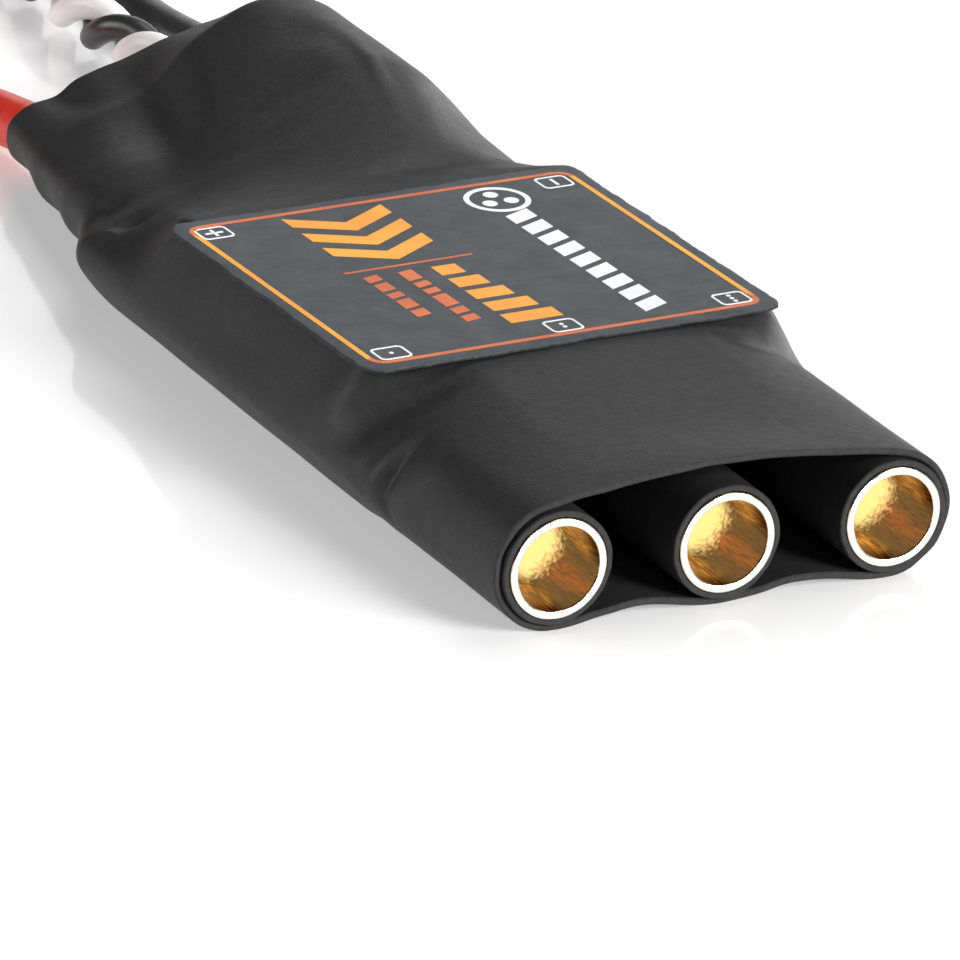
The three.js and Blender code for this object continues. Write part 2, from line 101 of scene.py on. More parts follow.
# Routes of the free leads from the board to the hank, in metres.
RED_LEAD_ROUTE = [
    (-0.0071, 0.0114, 0.00275), (-0.0071, 0.013, 0.00265), (-0.00695, 0.016, 0.0025),
    (-0.0063, 0.0195, 0.0022), (-0.0055, 0.0225, 0.002), (-0.0051, 0.026, 0.00195),
    (-0.0052, 0.029, 0.0016), (-0.0056, 0.032, 0.0013), (-0.0062, 0.036, 0.0012),
    (-0.0069, 0.04, 0.0012), (-0.0076, 0.044, 0.0013), (-0.008, 0.049, 0.0016),
]
BLACK_LEAD_ROUTE = [
    (0.0086, 0.0114, 0.00275), (0.00865, 0.013, 0.0026), (0.0087, 0.016, 0.0024),
    (0.0087, 0.02, 0.0023), (0.0087, 0.023, 0.0023), (0.0086, 0.026, 0.00225),
    (0.0081, 0.029, 0.0019), (0.0074, 0.032, 0.00145), (0.0068, 0.0355, 0.0012),
    (0.0063, 0.0395, 0.0012), (0.0068, 0.0435, 0.0012), (0.0084, 0.049, 0.0015),
]
SIGNAL_PAIR_ROUTE = [
    (-0.0024, 0.0096, 0.00396), (-0.0024, 0.0112, 0.00395), (-0.0023, 0.015, 0.0032),
    (-0.0021, 0.0185, 0.003), (-0.0015, 0.022, 0.003), (-0.0001, 0.025, 0.003),
    (0.0015, 0.028, 0.0029), (0.0028, 0.031, 0.0025), (0.0034, 0.0345, 0.002),
    (0.0036, 0.0385, 0.0017), (0.0038, 0.043, 0.0015), (0.0039, 0.049, 0.00165),
]
RED_EXIT = (-0.0051, 0.0262, 0.00195)
BLACK_EXIT = (0.0086, 0.0262, 0.00225)

# ---------- materials


def new_material(name, colour, roughness, metallic=0.0, **sockets):
    """A Principled material; further sockets are given by name, with _ for a space."""
    made = bpy.data.materials.new(name)
    made.use_nodes = True
    shader = made.node_tree.nodes["Principled BSDF"]
    shader.inputs["Base Color"].default_value = (*colour, 1)
    shader.inputs["Roughness"].default_value = roughness
    shader.inputs["Metallic"].default_value = metallic
    for key, value in sockets.items():
        shader.inputs[key.replace("_", " ")].default_value = value
    return made


EVEN = (1, 1, 1)


def feed(material, output, socket):
    """Links an output to a socket of the material's shader."""
    tree = material.node_tree
    tree.links.new(output, tree.nodes["Principled BSDF"].inputs[socket])


def noise_node(material, size_mm, detail=2.0, stretch=EVEN):
    """A noise whose features are about size_mm across, in the object's own coordinates."""
    tree = material.node_tree
    place = tree.nodes.new("ShaderNodeTexCoord")
    scaled = tree.nodes.new("ShaderNodeMapping")
    scaled.inputs["Scale"].default_value = stretch
    noise = tree.nodes.new("ShaderNodeTexNoise")
    noise.inputs["Scale"].default_value = 1 / (size_mm * MM)
    noise.inputs["Detail"].default_value = detail
    tree.links.new(place.outputs["Object"], scaled.inputs["Vector"])
    tree.links.new(scaled.outputs["Vector"], noise.inputs["Vector"])
    return noise


def ramp_node(material, source, stops):
    """A colour ramp on a value output; stops holds (position, colour) pairs."""
    tree = material.node_tree
    ramp = tree.nodes.new("ShaderNodeValToRGB")
    while len(ramp.color_ramp.elements) < len(stops):
        ramp.color_ramp.elements.new(0.5)
    for element, (position, colour) in zip(ramp.color_ramp.elements, stops):
        element.position = position
        element.color = (*colour, 1)
    tree.links.new(source, ramp.inputs["Fac"])
    return ramp


def ranged(material, output, source, target):
    """Carries a value over from one range to another, held at the ends."""
    tree = material.node_tree
    scale = tree.nodes.new("ShaderNodeMapRange")
    for end, bounds in (("From", source), ("To", target)):
        scale.inputs[f"{end} Min"].default_value = bounds[0]
        scale.inputs[f"{end} Max"].default_value = bounds[1]
    tree.links.new(output, scale.inputs["Value"])
    return scale.outputs["Result"]


def combined(material, operation, *values):
    """One arithmetic node fed with outputs or plain numbers."""
    tree = material.node_tree
    node = tree.nodes.new("ShaderNodeMath")
    node.operation = operation
    for socket, value in zip(node.inputs, values):
        if isinstance(value, (int, float)):
            socket.default_value = value
        else:
            tree.links.new(value, socket)
    return node.outputs["Value"]


def mottle(material, low, high, size_mm, detail=3.0, start=0.35, end=0.65, stretch=EVEN):
    """Lets the colour wander between two, in patches of about size_mm."""
    noise = noise_node(material, size_mm, detail, stretch)
    ramp = ramp_node(material, noise.outputs["Fac"], [(start, low), (end, high)])
    feed(material, ramp.outputs["Color"], "Base Color")


def uneven_gloss(material, low, high, size_mm, detail=3.0, stretch=EVEN):
    """Lets the roughness wander between low and high."""
    noise = noise_node(material, size_mm, detail, stretch)
    feed(material, ranged(material, noise.outputs["Fac"], (0.3, 0.7), (low, high)), "Roughness")


def grain(material, layers):
    """Adds surface relief; layers holds (size_mm, depth_mm, detail, stretch), coarse first."""
    tree = material.node_tree
    last = None
    for size_mm, depth_mm, detail, stretch in layers:
        noise = noise_node(material, size_mm, detail, stretch)
        bump = tree.nodes.new("ShaderNodeBump")
        bump.inputs["Strength"].default_value = 1.0
        bump.inputs["Distance"].default_value = depth_mm * MM
        tree.links.new(noise.outputs["Fac"], bump.inputs["Height"])
        if last:
            tree.links.new(last.outputs["Normal"], bump.inputs["Normal"])
        last = bump
    feed(material, last.outputs["Normal"], "Normal")


def heat_shrink_finish():
    made = new_material("heat_shrink_finish", (0.024, 0.024, 0.0245), 0.5, Specular_IOR_Level=0.22)
    mottle(made, (0.0235, 0.0235, 0.024), (0.029, 0.029, 0.0295), 0.4, 6.0)
    uneven_gloss(made, 0.46, 0.54, 0.5, 5.0)
    grain(made, [(2.6, 0.01, 2.0, EVEN), (0.3, 0.01, 4.0, EVEN), (0.085, 0.016, 3.0, EVEN)])
    return made


def label_finish():
    made = new_material("label_finish", (0.042, 0.049, 0.057), 0.41, Specular_IOR_Level=0.22)
    mottle(made, (0.037, 0.044, 0.051), (0.048, 0.055, 0.064), 0.4, 6.0)
    uneven_gloss(made, 0.36, 0.46, 1.2, 4.0)
    grain(made, [(3.0, 0.012, 2.0, EVEN), (0.12, 0.006, 3.0, EVEN)])
    return made


def ink(name, low, high):
    made = new_material(name, low, 0.4)
    mottle(made, low, high, 2.5, 3.0)
    grain(made, [(0.14, 0.005, 3.0, EVEN)])
    return made


def gold_finish():
    made = new_material("gold_finish", (0.9, 0.66, 0.3), 0.14, 1.0)
    mottle(made, (0.62, 0.38, 0.12), (0.95, 0.72, 0.34), 0.3, 6.0, 0.4, 0.6, (1, 0.14, 1))
    uneven_gloss(made, 0.1, 0.2, 0.2, 5.0, (1, 0.16, 1))
    grain(made, [(0.1, 0.0012, 4.0, (1, 0.1, 1))])
    return made


def bore_plating_painted_light():
    """Plating in fine streaks along the bore, with painted shade that browns it to either side of
    BORE_PAINTED_HIGHLIGHT_FACING. Walls facing BORE_PAINTED_HIGHLIGHT_FACING glow, a painted
    highlight standing in for light bounced
    inside the bore: faintly near the mouth, paler and stronger from BORE_PAINTED_GLOW_START
    inwards, where the change is speckled."""
    # The emission colour is a painted glow: the wall gives off light though it is no lamp.
    made = new_material("bore_plating_painted_light", (0.7, 0.4, 0.1), 0.3, 1.0,
                        Emission_Color=(1.0, 0.74, 0.26, 1))
    tree = made.node_tree
    place = tree.nodes.new("ShaderNodeTexCoord")
    axes = tree.nodes.new("ShaderNodeSeparateXYZ")
    tree.links.new(place.outputs["Object"], axes.inputs["Vector"])
    facing = tree.nodes.new("ShaderNodeVectorMath")
    facing.operation = "DOT_PRODUCT"
    facing.inputs[1].default_value = BORE_PAINTED_HIGHLIGHT_FACING
    tree.links.new(place.outputs["Normal"], facing.inputs[0])
    change = ((BORE_PAINTED_GLOW_START - BORE_SPECKLED) * MM, (BORE_PAINTED_GLOW_START + BORE_SPECKLED) * MM)
    inwards = ranged(made, axes.outputs["Y"], change, (0, 1))
    speckle = noise_node(made, 0.16, 5.0).outputs["Fac"]
    edge = combined(made, "MULTIPLY_ADD", speckle, 0.8, inwards)
    pale = ranged(made, edge, (0.75, 1.15), (0, 1))
    # Painted highlight: walls facing BORE_PAINTED_HIGHLIGHT_FACING glow, faintly near the mouth and
    # more from BORE_PAINTED_GLOW_START inwards.
    middle = ranged(made, facing.outputs["Value"], (0.6, 0.86), (0, 1))
    strength = ranged(made, pale, (0, 1), (0.11, 1.25))
    feed(made, combined(made, "MULTIPLY", strength, middle), "Emission Strength")
    streaks = noise_node(made, 0.11, 4.0, (1, 0.12, 1)).outputs["Fac"]
    # Painted shade: walls turned away from BORE_PAINTED_HIGHLIGHT_FACING are pushed towards the
    # ramp's darker browns.
    painted_side_shade = ranged(made, facing.outputs["Value"], (0.5, 0.84), (-0.22, 0))
    colours = [(0.3, (0.2, 0.07, 0.01)), (0.46, (0.74, 0.35, 0.06)), (0.6, (1.0, 0.63, 0.16))]
    plating_and_painted_shade = ramp_node(made, combined(made, "ADD", streaks, painted_side_shade), colours)
    feed(made, plating_and_painted_shade.outputs["Color"], "Base Color")
    grain(made, [(0.12, 0.003, 4.0, (1, 0.2, 1))])
    return made


def rim_gold_painted_highlight():
    # A near-white copy of the socket gold for the front ring faces: a painted highlight for the
    # light they catch.
    made = new_material("rim_gold_painted_highlight", (1.0, 0.95, 0.84), 0.22, 1.0)
    uneven_gloss(made, 0.16, 0.28, 0.4, 3.0)
    grain(made, [(0.2, 0.003, 3.0, EVEN)])
    return made


def silicone_finish(name, low, high, soft=0.0):
    made = new_material(name, low, 0.36, Subsurface_Weight=soft, Subsurface_Scale=0.0006,
                        Subsurface_Radius=(1, 1, 1))
    mottle(made, low, high, 3.0, 2.0)
    uneven_gloss(made, 0.3, 0.42, 1.0)
    grain(made, [(1.4, 0.01, 2.0, EVEN), (0.12, 0.003, 2.0, EVEN)])
    return made


def board_finish():
    made = new_material("board_finish", (0.008, 0.07, 0.03), 0.3, Coat_Weight=0.4)
    mottle(made, (0.006, 0.05, 0.022), (0.012, 0.1, 0.045), 1.1, 1.0, 0.47, 0.53)
    grain(made, [(1.1, 0.02, 1.0, EVEN), (0.2, 0.004, 2.0, EVEN)])
    return made


def metal_finish(name, low, high, roughness, size_mm=0.5, stretch=EVEN):
    made = new_material(name, low, roughness, 1.0)
    mottle(made, low, high, size_mm * 2, 3.0, 0.35, 0.65, stretch)
    uneven_gloss(made, roughness * 0.8, roughness * 1.3, size_mm, 3.0, stretch)
    grain(made, [(size_mm, 0.008, 3.0, stretch)])
    return made


def plain_finish(name, low, high, roughness, size_mm, depth_mm=0.01, **sockets):
    made = new_material(name, low, roughness, **sockets)
    mottle(made, low, high, size_mm * 2, 4.0)
    uneven_gloss(made, roughness * 0.85, min(1.0, roughness * 1.15), size_mm, 3.0)
    grain(made, [(size_mm, depth_mm, 4.0, EVEN)])
    return made


FINISH = {
    "heat_shrink": heat_shrink_finish(),
    "label_film": label_finish(),
    "socket_gold": gold_finish(),
    "spreader_aluminium": metal_finish("aluminium_finish", (0.62, 0.63, 0.64), (0.72, 0.73, 0.74),
                                       0.36, 0.3, (0.1, 1, 1)),
    "solder_tin": metal_finish("solder_finish", (0.6, 0.6, 0.61), (0.78, 0.78, 0.79), 0.26),
    "board_laminate": board_finish(),
}
# Slot, name, darker and lighter colour, roughness, and the grain's size and depth in millimetres.
for slot_name, finish_name, *given in (
    ("thermal_pad", "pad", (0.2, 0.27, 0.34), (0.27, 0.35, 0.42), 0.8, 0.5),
    ("chip_epoxy", "chip", (0.012, 0.012, 0.013), (0.022, 0.022, 0.023), 0.55, 0.08),
    ("ceramic_block", "ceramic", (0.42, 0.27, 0.15), (0.52, 0.35, 0.2), 0.4, 0.2),
    ("capacitor_wrap", "wrap", (0.01, 0.011, 0.02), (0.016, 0.018, 0.03), 0.3, 0.6),
    ("bung_rubber", "bung", (0.012, 0.012, 0.012), (0.022, 0.022, 0.022), 0.75, 0.15),
    ("connector_nylon", "nylon", (0.012, 0.012, 0.013), (0.02, 0.02, 0.021), 0.4, 0.3),
    ("tie_fabric", "tie", (0.016, 0.017, 0.02), (0.035, 0.036, 0.04), 0.85, 0.12, 0.05),
):
    FINISH[slot_name] = plain_finish(f"{finish_name}_finish", *given)
for slot_name, *given in (
    ("red_silicone", (0.72, 0.032, 0.017), (0.84, 0.05, 0.027), 0.1),
    ("black_silicone", (0.02, 0.02, 0.021), (0.034, 0.034, 0.035)),
    ("white_silicone", (0.92, 0.92, 0.92), (0.97, 0.97, 0.97), 0.2),
):
    FINISH[slot_name] = silicone_finish(f"{slot_name}_finish", *given)
RIM_GOLD_PAINTED_HIGHLIGHT = rim_gold_painted_highlight()
BORE_WALL_PAINTED_LIGHT = bore_plating_painted_light()
CAN_METAL = metal_finish("can_end_finish", (0.7, 0.71, 0.72), (0.8, 0.81, 0.82), 0.3, 0.25,
                         (0.15, 1, 1))
# Cut lips of the sleeve and cut front edges of the socket tubes. They are rougher, for a matte cut,
# and darker than the heat-shrink, which is painted shade.
CUT_EDGE_PAINTED_SHADE = plain_finish("cut_edge_painted_shade", (0.009, 0.009, 0.0095), (0.02, 0.02, 0.021), 0.8, 0.12)
# Near-black for the film's cut sides and underside: painted shadow at its edges.
LABEL_EDGE_PAINTED_SHADOW = plain_finish("label_edge_painted_shadow", (0.003, 0.003, 0.003), (0.006, 0.006, 0.006),
                          0.7, 0.2)
DEEP_ORANGE_INK = ink("deep_orange_ink", (0.56, 0.1, 0.018), (0.68, 0.15, 0.024))
ORANGE_INK = ink("orange_ink", (0.92, 0.33, 0.008), (1.0, 0.42, 0.015))
WHITE_INK = ink("white_ink", (0.85, 0.86, 0.88), (1.0, 1.0, 1.0))

# ---------- mesh helpers


def new_piece(name, points, faces, finishes, smooth=True, face_finish=None):
    """A mesh object from points in millimetres; face_finish gives each face's material number."""
    mesh = bpy.data.meshes.new(name)
    mesh.from_pydata((np.asarray(points, float).reshape(-1, 3) * MM).tolist(), [], faces)
    for finish in finishes:
        mesh.materials.append(finish)
    if face_finish is not None:
        mesh.polygons.foreach_set("material_index", face_finish)
    mesh.polygons.foreach_set("use_smooth", [smooth] * len(mesh.polygons))
    mesh.update()
    made = bpy.data.objects.new(name, mesh)
    SCENE.collection.objects.link(made)
    return made


def place(piece, slot, *nodes):
    """The piece rides on the body and stands for the CAD nodes, which it hides; slot is not used.
    """
    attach(piece, "root")
    if nodes:
        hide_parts(*nodes)
    return piece


def grid_faces(rows, columns, close_rows=False, close_columns=False):
    """Quads over a grid of rows x columns points, in row order."""
    faces = []
    for row in range(rows if close_rows else rows - 1):
        after = (row + 1) % rows
        for column in range(columns if close_columns else columns - 1):
            beside = (column + 1) % columns
            faces.append((row * columns + column, row * columns + beside,
                          after * columns + beside, after * columns + column))
    return faces


def end_caps(rows, columns):
    """The two faces that close the first and last ring of a grid."""
    return [tuple(range(columns)), tuple(range((rows - 1) * columns, rows * columns))[::-1]]


def turned(profile, sides, centre=(0, 0)):
    """Points of a closed profile of (radius, y) pairs turned about an axis along Y."""
    angles = np.linspace(0, 2 * np.pi, sides, endpoint=False)
    radius, along = np.array(profile, float).T
    x = centre[0] + radius[:, None] * np.cos(angles)
    z = centre[1] + radius[:, None] * np.sin(angles)
    return np.stack([x, np.broadcast_to(along[:, None], x.shape), z], axis=-1)


def crisp_rings(piece, columns, rings):
    """Keeps the edges along the given rings of a piece from being shaded smooth."""
    for edge in piece.data.edges:
        first, second = (index // columns for index in edge.vertices)
        edge.use_edge_sharp = first == second and first in rings


def smooth_step(value):
    value = np.clip(value, 0, 1)
    return value * value * (3 - 2 * value)


def ripple(points, size_mm, seed):
    """A smooth value from -1 to 1 at each point, with features of about size_mm."""
    wander = np.random.default_rng(seed)
    total = np.zeros(points.shape[:-1])
    for _ in range(7):
        heading = wander.normal(size=3)
        heading /= np.linalg.norm(heading)
        total += np.sin(points @ heading * (2 * np.pi / size_mm * wander.uniform(0.6, 1.5))
                        + wander.uniform(0, 2 * np.pi))
    return total / 4


# ---------- heat-shrink sleeve

# What the sleeve is drawn over, as discs in the cross-section: x, z, radius, the stretch of Y
# each fills, and how steeply the sleeve falls away before and after it.
SKIN = SLEEVE_WALL + 0.1
LEAD_SKIN = POWER_LEAD_RADIUS + SKIN
TOP_EDGE = SLEEVE_TOP - 0.8


def formers():
    discs = [(x, SOCKET_HEIGHT, SOCKET_HEIGHT, FRONT, BARREL_END, 0.2, 0.2)
             for x in (-SOCKET_PITCH, 0, SOCKET_PITCH)]
    for side in (-1, 1):
        discs += [
            (side * (HALF_WIDTH - 1), 2.8, 1, -15, 10.6, 0.2, 0.55),
            (side * 8.3, 0.8, 0.8, -13, 10.4, 0.1, 0.5),
            (side * 8.6, TOP_EDGE, 0.8, -12.5, 4.4, 0.9, 0.5),
            (side * 5, TOP_EDGE, 0.8, -12.5, 4.4, 0.085, 0.3),
        ]
    return discs + [
        (3.5, 4.45, 4 + SKIN, 12.9, 21.4, 0.3, 0.56),
        (-7.1, 2.7, LEAD_SKIN, 11, 15, 0.3, 0.2),
        (-7, 2.4, LEAD_SKIN, 11, 16.5, 0.3, 0.25),
        (-6, 2.05, LEAD_SKIN, 18, 21.4, 0.3, 0.3),
        (-5.1, 1.95, LEAD_SKIN - 0.07, 12.9, REAR, 0.3, 0),
        (8.7, 2.7, LEAD_SKIN, 11, 15, 0.3, 0.2),
        (8.7, 2.3, LEAD_SKIN, 11, REAR, 0.3, 0),
        (-2.2, 3, 2 * SIGNAL_WIRE_RADIUS + SKIN, 9.3, REAR, 0.3, 0),
    ]


def wrapped(discs, y, sharpness=SLEEVE_SHARPNESS, count=1440):
    """The closed line drawn tightly round the discs at each station y; x and z by angle."""
    angles = np.linspace(-np.pi, np.pi, count, endpoint=False)
    across, up = np.cos(angles), np.sin(angles)
    total = swing = 0
    for x, z, radius, start, end, before, after in discs:
        fall = before * np.maximum(0, start - y) + after * np.maximum(0, y - end)
        shrunk = np.maximum(0.4 * radius, radius - fall)
        rest = fall - (radius - shrunk)
        slide = np.minimum(rest, 0.4 * math.hypot(x, z))
        share = (1 - slide / math.hypot(x, z))[:, None]
        reach = share * (x * across + z * up) + (shrunk - (rest - slide))[:, None]
        weight = np.exp(sharpness * reach)
        total = total + weight
        swing = swing + weight * share * (z * across - x * up)
    support = np.log(total) / sharpness
    turn = swing / total
    return support * across - turn * up, support * up + turn * across


def evenly(x, z, count, split=1.9):
    """Each closed line again with count points, half over the top and half below, evenly spaced;
    the halves meet at the height split."""
    rows = []
    for row_x, row_z in zip(x, z):
        ring = np.stack([np.tile(row_x, 3), np.tile(row_z, 3)], -1)
        length = np.concatenate([[0], np.cumsum(np.linalg.norm(np.diff(ring, axis=0), axis=1))])
        above = ring[:, 1] > split
        crossings = np.flatnonzero(above[1:] != above[:-1])
        share = (split - ring[crossings, 1]) / (ring[crossings + 1, 1] - ring[crossings, 1])
        at = length[crossings] + share * (length[crossings + 1] - length[crossings])
        first = int(np.flatnonzero(above[crossings + 1])[0])
        parts = []
        for start, end in ((at[first], at[first + 1]), (at[first + 1], at[first + 2])):
            along = np.linspace(start, end, count // 2, endpoint=False)
            parts.append(np.stack([np.interp(along, length, ring[:, 0]),
                                   np.interp(along, length, ring[:, 1])], -1))
        rows.append(np.concatenate(parts))
    return np.array(rows)


SLEEVE_AROUND = 480
SLEEVE_STEP = 0.22


def hill(x, y, middle, reach, turn_degrees=0):
    """A rounded hill of height 1 in plan: its middle, and its reach across and along."""
    turn = math.radians(turn_degrees)
    dx, dy = x - middle[0], y - middle[1]
    across = (dx * math.cos(turn) + dy * math.sin(turn)) / reach[0]
    along = (-dx * math.sin(turn) + dy * math.cos(turn)) / reach[1]
    return np.exp(-(across ** 2 + along ** 2))


# Hills and hollows on the top, seen from above: middle, reach across and along, turn, height.
TOP_RELIEF = [
    ((-3.6, 18.6), (1.5, 5.6), -17, -0.95),
    ((-4.5, 26.2), (0.9, 3.2), 0, -0.33),
    ((-8.4, 12.6), (0.6, 0.55), 0, -0.26),
    ((-8.6, 9.7), (0.75, 0.5), 0, -0.24),
    ((-9.6, 11.5), (0.3, 0.36), 0, 0.14),
    ((-9.6, 9.7), (0.28, 0.32), 0, 0.1),
    ((2.5, 17.2), (1.2, 1.8), 0, -0.2),
    ((4.2, 15.5), (0.6, 2.4), 0, 0.08),
    ((3.7, 12.6), (0.4, 2.6), -6, 0.14),
    ((0.0, -26.2), (5.2, 3.2), 0, 0.55),
]
# The same on the left side, seen along X: middle in y and z, reach, turn, height.
LEFT_RELIEF = [
    ((-17.1, 3.4), (0.28, 1.3), 8, -0.3),
    ((-16.3, 3.4), (0.5, 1.2), 8, 0.16),
    ((-18.6, 3.3), (1.0, 1.5), 0, 0.1),
    ((-11.5, 4.4), (1.0, 1.3), 0, 0.16),
    ((-3.5, 4.2), (2.4, 1.0), 0, -0.1),
]


def sleeve_relief(points, normals):
    """How far the sleeve stands out from the plain wrapped shape, along its normal."""
    x, y, z = np.moveaxis(points, -1, 0)
    upward = smooth_step((normals[..., 2] - 0.1) / 0.5)
    downward = smooth_step((-normals[..., 2] - 0.3) / 0.5)
    leftward = smooth_step((-normals[..., 0] - 0.2) / 0.5)
    total = 0.014 * ripple(points, 7.0, 11) + 0.004 * ripple(points, 2.4, 12)
    for middle, reach, turn, height in TOP_RELIEF:
        total = total + upward * height * hill(x, y, middle, reach, turn)
    for middle, reach, turn, height in LEFT_RELIEF:
        total = total + leftward * height * hill(y, z, middle, reach, turn)
    between = np.sin(np.pi * np.clip(np.abs(x) / SOCKET_PITCH, 0, 1)) ** 2
    near_mouth = smooth_step((BARREL_END - y) / 6)
    total = total - 0.42 * downward * between * near_mouth
    return total


def grid_normals(points):
    """Outward normals of rows of closed rings that run along Y."""
    around = np.roll(points, -1, axis=1) - np.roll(points, 1, axis=1)
    along = np.gradient(points, axis=0)
    normals = np.cross(around, along)
    normals /= np.maximum(np.linalg.norm(normals, axis=-1, keepdims=True), 1e-9)
    middle = points.mean(axis=1, keepdims=True)
    outward = np.sign((normals * (points - middle)).sum(-1).mean())
    return normals * outward


def heat_shrink_sleeve():
    count = int((REAR - SLEEVE_FRONT) / SLEEVE_STEP)
    y = np.linspace(SLEEVE_FRONT, REAR, count)
    line = evenly(*wrapped(formers(), y), SLEEVE_AROUND)
    ceiling = SLEEVE_TOP + SLEEVE_RISE_SLOPE * np.maximum(0, y - SLEEVE_RISE_START)
    x = line[..., 0]
    z = np.minimum(np.maximum(line[..., 1], 0), ceiling[:, None])
    outer = np.stack([x, np.broadcast_to(y[:, None], x.shape), z], axis=-1)
    for _ in range(2):
        outer[1:-1, :, ::2] = (outer[:-2, :, ::2] + 2 * outer[1:-1, :, ::2] + outer[2:, :, ::2]) / 4
    outer += grid_normals(outer) * sleeve_relief(outer, grid_normals(outer))[..., None]
    outer[..., 2] = np.maximum(outer[..., 2], 0)
    normals = grid_normals(outer)
    ragged = 0.05 * ripple(outer[:1], 1.6, 21) + 0.05 * ripple(outer[:1], 5.0, 22)
    pulled_in = np.abs(ragged).max() * np.where(y < 0, -1, 1)[:, None]
    near_front = smooth_step(1 - (y - SLEEVE_FRONT) / 2)[:, None]
    near_rear = smooth_step(1 - (REAR - y) / 2)[:, None]
    outer[..., 1] += (near_front - near_rear) * (ragged - pulled_in)
    inner = outer - normals * SLEEVE_WALL
    round_over = 0.07
    lips = []
    for end, heading in ((-1, 1), (0, -1)):
        edge, normal = outer[end], normals[end]
        lift = np.array([0, heading * round_over, 0])
        lips.append([edge - normal * round_over + lift,
                     edge - normal * SLEEVE_WALL / 2 + lift * 1.2,
                     edge - normal * (SLEEVE_WALL - round_over) + lift])
    rings = np.concatenate([outer, lips[0], inner[::-1], lips[1][::-1]])
    faces = grid_faces(len(rings), SLEEVE_AROUND, True, True)
    rear_lip, front_lip = count - 1, 2 * count + 2
    band = np.arange(len(faces)) // SLEEVE_AROUND
    cut = ((band >= rear_lip) & (band < rear_lip + 4)) | (band >= front_lip)
    # The cut lips take the darker copy of the heat-shrink, painted shade.
    finishes = [FINISH["heat_shrink"], CUT_EDGE_PAINTED_SHADE]
    sleeve = new_piece("sleeve_shell", rings, faces, finishes, True, cut.astype(int))
    crisp = [(lip + step) % len(rings) for lip in (rear_lip, front_lip) for step in (0, 1, 3, 4)]
    crisp_rings(sleeve, SLEEVE_AROUND, crisp)
    return place(sleeve, "heat_shrink", "heat_shrink_sleeve")


# ---------- label


def on_label(u, v, height):
    """Label coordinates, u across and v to the rear, to points of the row frame."""
    u, v = np.asarray(u, float), np.asarray(v, float)
    x = LABEL_CENTRE[0] + u * math.cos(LABEL_TURN) - v * math.sin(LABEL_TURN)
    y = LABEL_CENTRE[1] + u * math.sin(LABEL_TURN) + v * math.cos(LABEL_TURN)
    return np.stack([x, y, np.broadcast_to(height, x.shape)], axis=-1)


def label_droop(u, v):
    """How far the film bends down where it overhangs the flat, near its left and front edges."""
    left = np.clip((-u - 8.7) / 1.0, 0, 1) ** 1.6
    front = np.clip((-v - 8.1) / 0.9, 0, 1) ** 1.6
    right = np.clip((u - 8.9) / 0.9, 0, 1) ** 1.6
    return 0.06 * left + 0.05 * front + 0.04 * right


def rounded_outline(half_u, half_v, radius, step=0.2):
    """The line round a rectangle with rounded corners, with points about step apart."""
    corners = []
    for turn, (sign_u, sign_v) in enumerate(((1, 1), (-1, 1), (-1, -1), (1, -1))):
        angles = np.linspace(turn, turn + 1, 9) * np.pi / 2
        corners.append(np.stack([sign_u * (half_u - radius) + radius * np.cos(angles),
                                 sign_v * (half_v - radius) + radius * np.sin(angles)], -1))
    line = np.concatenate([*corners, corners[0][:1]])
    along = np.concatenate([[0], np.cumsum(np.linalg.norm(np.diff(line, axis=0), axis=1))])
    at = np.linspace(0, along[-1], int(along[-1] / step), endpoint=False)
    return np.stack([np.interp(at, along, line[:, k]) for k in range(2)], -1)


def label_film():
    """The film, as rings that shrink towards its middle, above and below, with rough cut edges."""
    edge = rounded_outline(*LABEL_HALF, 0.8, 0.09)
    flat = np.concatenate([edge, np.zeros((len(edge), 1))], axis=-1)
    heading = edge / np.linalg.norm(edge, axis=-1, keepdims=True)
    fine = 0.03 * ripple(flat, 0.9, 31) + 0.03 * ripple(flat, 0.45, 32)
    cut = fine + 0.05 * ripple(flat, 4.0, 33)
    edge = edge + heading * (cut - 0.06)[:, None]
    shares = 1 - np.array([0.004, 0.012, 0.03, 0.05, 0.07, 0.09, 0.12, 0.2, 0.35, 0.5, 0.65, 0.8,
                           0.93])
    curl = 0.02 * ripple(flat, 2.2, 34)

    def inset(share, level):
        ring = edge * share
        fade = max(0, 1 - (1 - share) * 12)
        return on_label(*ring.T, level - label_droop(*ring.T) + curl * fade)

    top_edge = LABEL_FACE - label_droop(*edge.T) + curl
    thickness = LABEL_FACE - LABEL_BOTTOM
    rings = [inset(share, LABEL_FACE) for share in shares[::-1]]
    rings.append(on_label(*edge.T, top_edge - 0.03))
    rings.append(on_label(*edge.T, top_edge - thickness + 0.02))
    rings += [inset(share, LABEL_BOTTOM) for share in shares]
    rings = np.array(rings)
    columns = len(edge)
    faces = grid_faces(len(rings), columns, False, True)
    # The cut sides and the bottom cap take the near-black, painted shadow.
    cut_edge = [int(index // columns >= len(shares)) for index in range(len(faces))]
    faces.append(tuple(range(columns))[::-1])
    faces.append(tuple(range((len(rings) - 1) * columns, len(rings) * columns)))
    cut_edge += [0, 1]
    finishes = [FINISH["label_film"], LABEL_EDGE_PAINTED_SHADOW]
    film = new_piece("label_film_sheet", rings, faces, finishes, True, cut_edge)
    film.modifiers.new("crisp_edges", "EDGE_SPLIT").split_angle = math.radians(50)
    return place(film, "label_film", "top_label")


PRINT_DEPTH = 0.012


